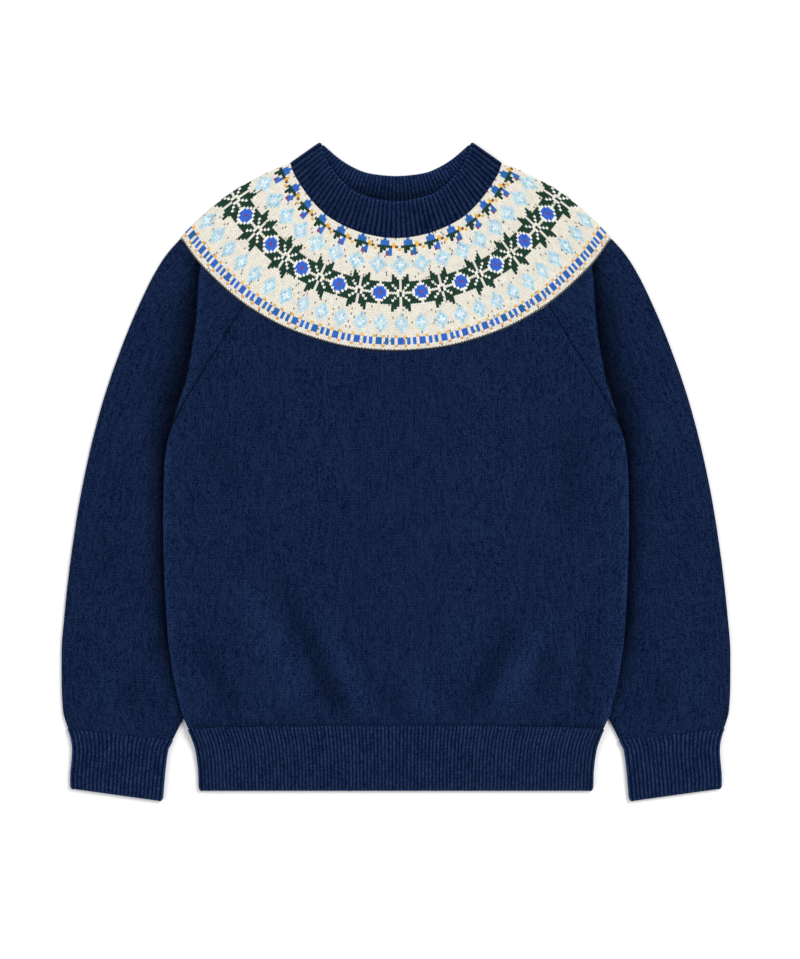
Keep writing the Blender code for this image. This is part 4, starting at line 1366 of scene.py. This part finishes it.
def yarn_tints(letters, dye, rng):
    """The colour of each stitch: heathered, with whiter stitches in the pale yarn.

    The blue yarn turns from blue to teal and to violet as dye goes from 0 to -1 and to 1.
    """
    yarn = np.array([linear(YARNS[letter]) for letter in letters])
    pale = np.array([letter in "lmw" for letter in letters])
    blue = np.array([letter == "b" for letter in letters])
    ground = np.array([letter in ".c" for letter in letters])
    whiter = rng.uniform(0, WHITEST, len(letters)) * pale
    yarn = between(yarn, np.array(linear(YARNS["w"])), whiter[:, None])
    for letter, share in (("t", np.clip(-dye, 0, 1)), ("v", np.clip(dye, 0, 1))):
        yarn = between(yarn, np.array(linear(YARNS[letter])), (share * blue)[:, None])
    lighter = rng.normal(0, 1, (len(letters), 1)) * np.where(ground, *LIGHTER)[:, None]
    tinted = rng.normal(0, 1, yarn.shape) * np.where(ground, *TINTED)[:, None]
    return yarn * (1 + lighter) * (1 + tinted)


def yoke_stitches(surface, band, top, front, rng):
    """Points and colours of one band's stitches on the front or the back: legs, then loops."""
    stitches = band.repeat * band.repeats
    columns = np.arange(-(stitches // 2), (stitches + 1) // 2)
    on_front = np.abs(columns) * 4 <= stitches
    columns = columns[on_front == front]
    phase = (columns + 1) % band.repeat
    strokes = (columns + 1) // band.repeat * 3 + (phase >= 3) + (phase >= 5)
    dye = rng.uniform(*DYES, strokes.max() - strokes.min() + 1)[strokes - strokes.min()]
    legs, leg_tints, loops, loop_shaded_tints = [], [], [], []

    def spot(out, down, height):
        share = ring_share(stitch_place(band, columns, out), stitches)
        level = np.full(len(columns), 1 - (top + down * band.depth / band.rows) / YOKE_DEPTH)
        normal = surface.at(surface.normals, share, level)
        return surface.at(surface.points, share, level) + normal * np.reshape(height, (-1, 1))

    for row in range(band.rows):
        middle = row + 0.5
        letters = [chart_letter(band, int(column), row) for column in columns]
        yarn = yarn_tints(letters, dye, rng)
        plain = np.array([letter in ".c" for letter in letters])
        loop = np.stack([spot(out, middle - up, LOOP_HEIGHT) for out, up in LOOP], axis=1)
        loops.append(loop[~plain])
        # The loop takes its yarn's colour in painted shade
        loop_shaded_tints.append((yarn * LOOP_SHADE)[~plain])
        for side in (-1, 1):
            wobble = rng.normal(0, LEG_WOBBLE, len(columns))
            size = np.where(plain, *LEG_SIZES) + rng.normal(0, LEG_SPREAD, len(columns))
            sections = []
            for section in LEG:
                spread = (0,) if section.half_width == 0 else (-1, 0, 1)
                for offset in spread:
                    out = side * (section.out + offset * section.half_width * size) + wobble
                    height = LEG_HEIGHT * section.height * size if offset == 0 else -LEG_SINK
                    sections.append(spot(out, middle - section.up, height))
            points = np.stack(sections, axis=1)
            legs.append(points if side > 0 else points[:, LEG_MIRROR])
            specked = plain & (rng.random(len(columns)) < SPECK_SHARE / 2)
            tints = np.repeat(yarn[:, None], LEG_POINTS, axis=1)
            tints[np.ix_(specked, SPECK_POINTS)] = linear(SPECK)
            leg_tints.append(tints)
    return [np.concatenate(group) for group in (legs, leg_tints, loops, loop_shaded_tints)]


def linear(colour):
    """A colour given in screen levels, as light."""
    found = []
    for level in colour:
        share = level / 255
        found.append(share / 12.92 if share <= 0.04045 else ((share + 0.055) / 1.055) ** 2.4)
    return tuple(found)


def stitch_piece(name, surface, front, material, seed):
    """All the stitches of the yoke's front or back in one piece."""
    rng = np.random.default_rng(seed)
    found = []
    top = 0.0
    for band in BANDS:
        found.append(yoke_stitches(surface, band, top, front, rng))
        top += band.depth
    legs, leg_tints, loops, loop_shaded_tints = (np.concatenate(group) for group in zip(*found))
    faces = []
    for first, shapes, kinds in (
        (0, legs, LEG_ENDS + LEG_SIDES), (legs.size // 3, loops, LOOP_FACES)
    ):
        starts = first + np.arange(len(shapes)) * shapes.shape[1]
        for corners in kinds:
            faces += (np.array(corners)[None, :] + starts[:, None]).tolist()
    points = np.concatenate((legs.reshape(-1, 3), loops.reshape(-1, 3)))
    piece = new_piece(name, points, faces, material, "patterned_knit")
    loop_shaded_tints = np.repeat(loop_shaded_tints, len(LOOP), axis=0)
    return dye(piece, np.concatenate((leg_tints.reshape(-1, 3), loop_shaded_tints)))


def raglan_marks(panel, material):
    """Small dark marks beside the raglan seams, where the knitting was narrowed: navy in painted shade."""
    places = panel[:, :, 0].reshape(-1, 3)
    points, faces = [], []
    angles = [2 * math.pi * step / MARK_SIDES for step in range(MARK_SIDES)]
    for side in (-1, 1):
        for index in range(MARKS):
            y = between(*MARKS_Y, index / (MARKS - 1))
            x = side * (read(RAGLAN_SEAM, "x", max(y, ARMPIT.raglan_y)) - MARKS_INSIDE)
            z = places[np.hypot(places[:, 0] - x, places[:, 1] - y).argmin(), 2]
            first = len(points)
            points.append((x, y, z + MARK_RISE))
            for angle in angles:
                out, up = MARK_SIZE[0] * math.cos(angle), MARK_SIZE[1] * math.sin(angle)
                points.append((x + out + side * MARK_SLANT * up, y + up, z))
            for step in range(MARK_SIDES):
                faces.append((first, first + 1 + step, first + 1 + (step + 1) % MARK_SIDES))
    piece = new_piece("raglan_marks", np.array(points), faces, material, "plain_knit")
    return dye(piece, linear(MARK_SHADED_NAVY))


class Shader:
    """A material's nodes, made and joined in short calls."""

    def __init__(self, name):
        self.material = bpy.data.materials.new(name)
        self.material.use_nodes = True
        self.tree = self.material.node_tree
        self.output = self.tree.nodes["Principled BSDF"]

    def node(self, kind, sockets=(), **settings):
        node = self.tree.nodes.new("ShaderNode" + kind)
        for name, value in settings.items():
            setattr(node, name, value)
        self.join(node, sockets)
        return node

    def join(self, node, sockets):
        """Gives each named input of a node its value: a number, a colour or another node's output."""
        for name, value in dict(sockets).items():
            if isinstance(value, bpy.types.NodeSocket):
                self.tree.links.new(value, node.inputs[name])
            else:
                node.inputs[name].default_value = (*value, 1.0) if isinstance(value, tuple) else value

    def maths(self, operation, *values, clamp=False):
        return self.node("Math", enumerate(values), operation=operation, use_clamp=clamp).outputs[0]

    def times(self, first, second):
        return self.maths("MULTIPLY", first, second)

    def minus(self, first, second):
        return self.maths("SUBTRACT", first, second)

    def arch(self, value, power):
        """Rises from 0 to 1 and falls again as a value goes from 0 to 1."""
        return self.maths("POWER", self.times(self.times(value, self.minus(1.0, value)), 4.0), power)

    def grain(self, kind, x, y, **sockets):
        """A flat pattern of random tones at two values."""
        place = self.node("CombineXYZ", {"X": x, "Y": y}).outputs[0]
        return self.node(kind, {"Vector": place, **sockets}, noise_dimensions="2D").outputs[0]

    def noise(self, scale, detail=2.0, roughness=0.6):
        """Noise on the piece's own metres: its scale is how many grains lie in a metre."""
        place = self.node("TexCoord").outputs["Object"]
        sockets = {"Vector": place, "Scale": scale, "Detail": detail, "Roughness": roughness}
        return self.node("TexNoise", sockets).outputs[0]

    def carried(self, name, output):
        """What the piece carries for each of its points under a name."""
        return self.node("Attribute", attribute_name=name).outputs[output]

    def mix(self, factor, first, second):
        node = self.node("Mix", data_type="RGBA")
        self.join(node, {"Factor": factor, "A": first, "B": second})
        return node.outputs["Result"]

    def scaled(self, colour, factor):
        return self.node("VectorMath", {0: colour, "Scale": factor}, operation="SCALE").outputs[0]

    def finish(self, colour, height, distance, sheen_tint=WHITE):
        """Wool of a colour, with its fibres raised."""
        raised = self.node("Bump", {"Height": height, "Distance": distance, "Strength": 1.0})
        wool = {
            "Base Color": colour,
            "Normal": raised.outputs["Normal"],
            "Roughness": WOOL_ROUGHNESS,
            "Metallic": 0.0,
            "Specular IOR Level": WOOL_SHINE,
            "Sheen Weight": SHEEN,
            "Sheen Roughness": SHEEN_ROUGHNESS,
            "Sheen Tint": sheen_tint,
        }
        self.join(self.output, wool)
        return self.material


def knitted_wool(name, dark, light, groove=0.0):
    """Brushed wool, knitted plain: V-shaped stitches of heathered yarn, each leg its own tone, shade
    painted between legs.
    """
    shader = Shader(name)
    maths, times, minus = shader.maths, shader.times, shader.minus
    place = shader.node("UVMap", uv_map="knit").outputs["UV"]
    split = shader.node("SeparateXYZ", {0: place})
    wale, course = split.outputs["X"], split.outputs["Y"]
    out = times(maths("ABSOLUTE", minus(maths("FRACT", wale), 0.5)), 2.0)
    slanted = minus(course, times(out, STITCH_SLANT))
    across = shader.arch(out, STITCH_ROUND[0])
    stitch = times(across, shader.arch(maths("FRACT", slanted), STITCH_ROUND[1]))
    leg = maths("FLOOR", times(wale, 2.0))
    fibres = shader.noise(GRAINS_FINE, roughness=0.7)
    streak_place = times(leg, STREAK_APART), times(course, STREAK_COURSES)
    grains = (
        (shader.grain("TexWhiteNoise", leg, maths("FLOOR", slanted)), LEG_CONTRAST),
        (fibres, FINE_CONTRAST),
        (shader.noise(GRAINS_HEATHER), HEATHER_CONTRAST),
        (shader.noise(CLOUDS, roughness=0.5), CLOUD_CONTRAST),
        (shader.grain("TexNoise", *streak_place, Scale=1.0), STREAK_CONTRAST),
    )
    # The stitch pattern paints shade between the legs of each stitch
    share = maths("MULTIPLY_ADD", stitch, STITCH_CONTRAST, 0.5 - STITCH_MEAN * STITCH_CONTRAST)
    for grain, strength in grains:
        share = maths("MULTIPLY_ADD", minus(grain, 0.5), strength, share)
    colour = shader.mix(maths("ADD", share, 0.0, clamp=True), linear(dark), linear(light))
    # Painted shade in the grooves between the ribs
    if groove:
        sunk = times(maths("POWER", out, GROOVE_POWER), groove)
        colour = shader.mix(sunk, colour, linear(PAINTED_GROOVE_NAVY))
    height = maths("MULTIPLY_ADD", fibres, 0.5, stitch)
    colour = shader.scaled(colour, shader.carried("shade", "Fac"))
    return shader.finish(colour, height, NAVY_DEPTH, SHEEN_NAVY)


def yarn_wool(name):
    """Wool of the colour that each stitch of the yoke carries."""
    shader = Shader(name)
    fibres = shader.noise(YARN_GRAINS, roughness=0.7)
    shade = shader.maths("MULTIPLY_ADD", fibres, 0.4, 0.8)
    colour = shader.scaled(shader.carried("yarn", "Color"), shade)
    return shader.finish(colour, fibres, YARN_DEPTH)


def plain_wool(name, dark, light):
    """The cloth of the yoke behind its stitches, darker than its cream yarn: painted shade between the
    legs.
    """
    shader = Shader(name)
    fibres = shader.noise(GROUND_GRAINS, 3.0, 0.7)
    colour = shader.mix(fibres, linear(dark), linear(light))
    colour = shader.scaled(colour, shader.carried("shade", "Fac"))
    return shader.finish(colour, fibres, GROUND_DEPTH)


def rib_knit(phases, rows, height):
    """The knitting of a ring: one wale a column of ribs, with a row of stitches every course."""
    along = np.linspace(0.0, height / COURSE, rows)
    return np.stack(np.broadcast_arrays(phases[None, :], along[:, None]), axis=-1).astype(float)


def whole_rib(half, phases):
    """A ribbed ring and its place among the ribs once round, from half of it."""
    return whole_ring(half), np.concatenate((phases, 2 * phases[-1] - phases[-2::-1]))


def rib_cloth(grid, phases, height, inside=None, deep=()):
    """A ring with its ribs and its knitting."""
    grid = add_ribs(grid, phases, inside, deep)
    return both_edges(grid, rib_knit(phases, len(grid), height))


def both_edges(grid, knit):
    return soft_edge(*soft_edge(grid, knit, True), False)


def both_sleeves(pieces, kind, ending, grid, *rest):
    """A sleeve or a cuff on the wearer's left, and the same on the right."""
    pieces[kind + "_left"] = cloth(f"{kind}_left_{ending}", grid, *rest)
    pieces[kind + "_right"] = cloth(f"{kind}_right_{ending}", other_side(grid), *rest, flip=True)


def make_sweater():
    """All the pieces, each in place of its solid, which is hidden."""
    navy = knitted_wool("navy plain knit", NAVY_DARK, NAVY_LIGHT)
    rib = knitted_wool("navy rib knit", RIB_DARK, RIB_LIGHT, groove=RIB_GROOVE)
    yarn = yarn_wool("fair isle yarns")
    ground = plain_wool("cream ground in painted shade", GROUND_DARK, GROUND_LIGHT)
    pieces = {}

    grid, knit, closed = sleeve_grid()
    for node, front in (("front", True), ("back", False)):
        panel, panel_knit = body_grid(front, sleeve_seam(grid, closed, front))
        shade = body_shade(panel[:, :, 0], front)
        pieces[node] = cloth(node + "_cloth", panel, panel_knit, navy, "plain_knit", shade)
        if front:
            marks = raglan_marks(panel, yarn)
    shade = sleeve_shade(grid[:, :, 0])
    both_sleeves(pieces, "sleeve", "cloth", grid, knit, navy, "plain_knit", shade, closed)

    surface = YokeSurface()
    grid = whole_ring(surface.grid)
    knit = rib_knit(np.arange(grid.shape[1]) * 1.0, len(grid), YOKE_DEPTH * COURSE)
    grid, knit = both_edges(grid, knit)
    shade = yoke_shade(grid)
    pieces["yoke"] = cloth("yoke_cloth", grid, knit, ground, "patterned_knit", shade, len(grid))
    stitches = [
        stitch_piece("yoke_stitches_front", surface, True, yarn, FRONT_SEED),
        stitch_piece("yoke_stitches_back", surface, False, yarn, BACK_SEED),
    ]

    grid, phases = band_half()
    behind = np.arange(len(phases)) > (NECK_RIBS // 2 + TURN_RIBS) * RIB_COLUMNS
    grid, phases = whole_rib(grid, phases)
    behind = np.concatenate((behind, behind[-2::-1]))
    grid, knit = rib_cloth(grid, phases, BAND_HEIGHT, inside=behind)
    shade = neck_shade(grid, behind)
    pieces["neckband"] = cloth("neckband_rib", grid, knit, rib, "rib_knit", shade, len(grid))

    grid, phases = whole_rib(*hem_half())
    side = HEM_RIBS // 2
    deep = [side, side + TURN_RIBS, 3 * side + TURN_RIBS, 3 * side + 2 * TURN_RIBS]
    grid, knit = rib_cloth(grid, phases, HEM_TOP_Y - HEM_BOTTOM_Y, deep=deep)
    shade = rib_shade(grid, phases, deep, (side + TURN_RIBS / 2, 3 * side + 1.5 * TURN_RIBS))
    pieces["hem_rib"] = cloth("hem_rib_cloth", grid, knit, rib, "rib_knit", shade, len(grid))

    grid, phases = cuff_ring()
    grid, knit = rib_cloth(grid, phases, CUFF_HEIGHT)
    turned = CUFF_RIBS + TURN_RIBS
    shade = rib_shade(grid, phases, (), (0.0, turned, 2 * turned))
    both_sleeves(pieces, "cuff", "rib", grid, knit, rib, "rib_knit", shade, len(grid))

    for node, piece in pieces.items():
        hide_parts(node)
        flat, area, under_it = SHEETS[node]
        [pieces[name] for name in under_it]
        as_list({"yoke": stitches, "front": [marks]}.get(node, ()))


def make_stage():
    bpy.ops.mesh.primitive_plane_add(size=FLOOR_SIZE, location=(0.0, 0.0, -FLOOR_DROP))
    floor = bpy.context.object
    floor.name = "floor"
    shader = Shader("pale floor")
    lighter = tuple(level * PAPER_GRAIN for level in PAPER_WHITE)
    colour = shader.mix(shader.noise(FLOOR_GRAINS), PAPER_WHITE, lighter)
    shader.join(shader.output, {"Base Color": colour, "Roughness": 0.95})
    floor.data.materials.append(shader.material)


def area_light(name, place, size, power):
    """A round lamp that points at the sweater's middle."""
    light = bpy.data.lights.new(name, "AREA")
    light.shape = "DISK"
    light.size = size
    light.energy = power
    lamp = linked(name, light)
    lamp.location = place
    x, y, z = place
    lamp.rotation_euler = (math.atan2(math.hypot(x, y), z), 0.0, math.atan2(x, -y))


def make_camera_and_light():
    camera_data = bpy.data.cameras.new("camera")
    camera_data.lens = CAMERA_LENS
    camera_data.sensor_width = SENSOR
    camera_data.clip_end = 20.0
    camera = linked("camera", camera_data)
    distance = FRAME_HEIGHT * CAMERA_LENS / SENSOR
    camera.location = (CAMERA_CENTRE[0], CAMERA_CENTRE[1], CAMERA_CENTRE[2] + distance)
    bpy.context.scene.camera = camera

    world = bpy.data.worlds.new("studio")
    world.use_nodes = True
    background = world.node_tree.nodes["Background"]
    background.inputs["Color"].default_value = (1.0, 1.0, 1.0, 1.0)
    background.inputs["Strength"].default_value = WORLD_LIGHT
    bpy.context.scene.world = world
    for lamp in LAMPS:
        area_light(*lamp)
    bpy.context.scene.view_settings.view_transform = "Standard"


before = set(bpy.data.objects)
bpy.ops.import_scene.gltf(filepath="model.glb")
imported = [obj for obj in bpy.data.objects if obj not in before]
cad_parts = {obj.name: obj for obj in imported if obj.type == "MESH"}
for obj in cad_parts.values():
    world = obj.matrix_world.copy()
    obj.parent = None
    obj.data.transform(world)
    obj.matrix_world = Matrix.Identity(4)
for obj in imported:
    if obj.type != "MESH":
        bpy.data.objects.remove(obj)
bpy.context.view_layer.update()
make_camera_and_light()
make_stage()
make_sweater()
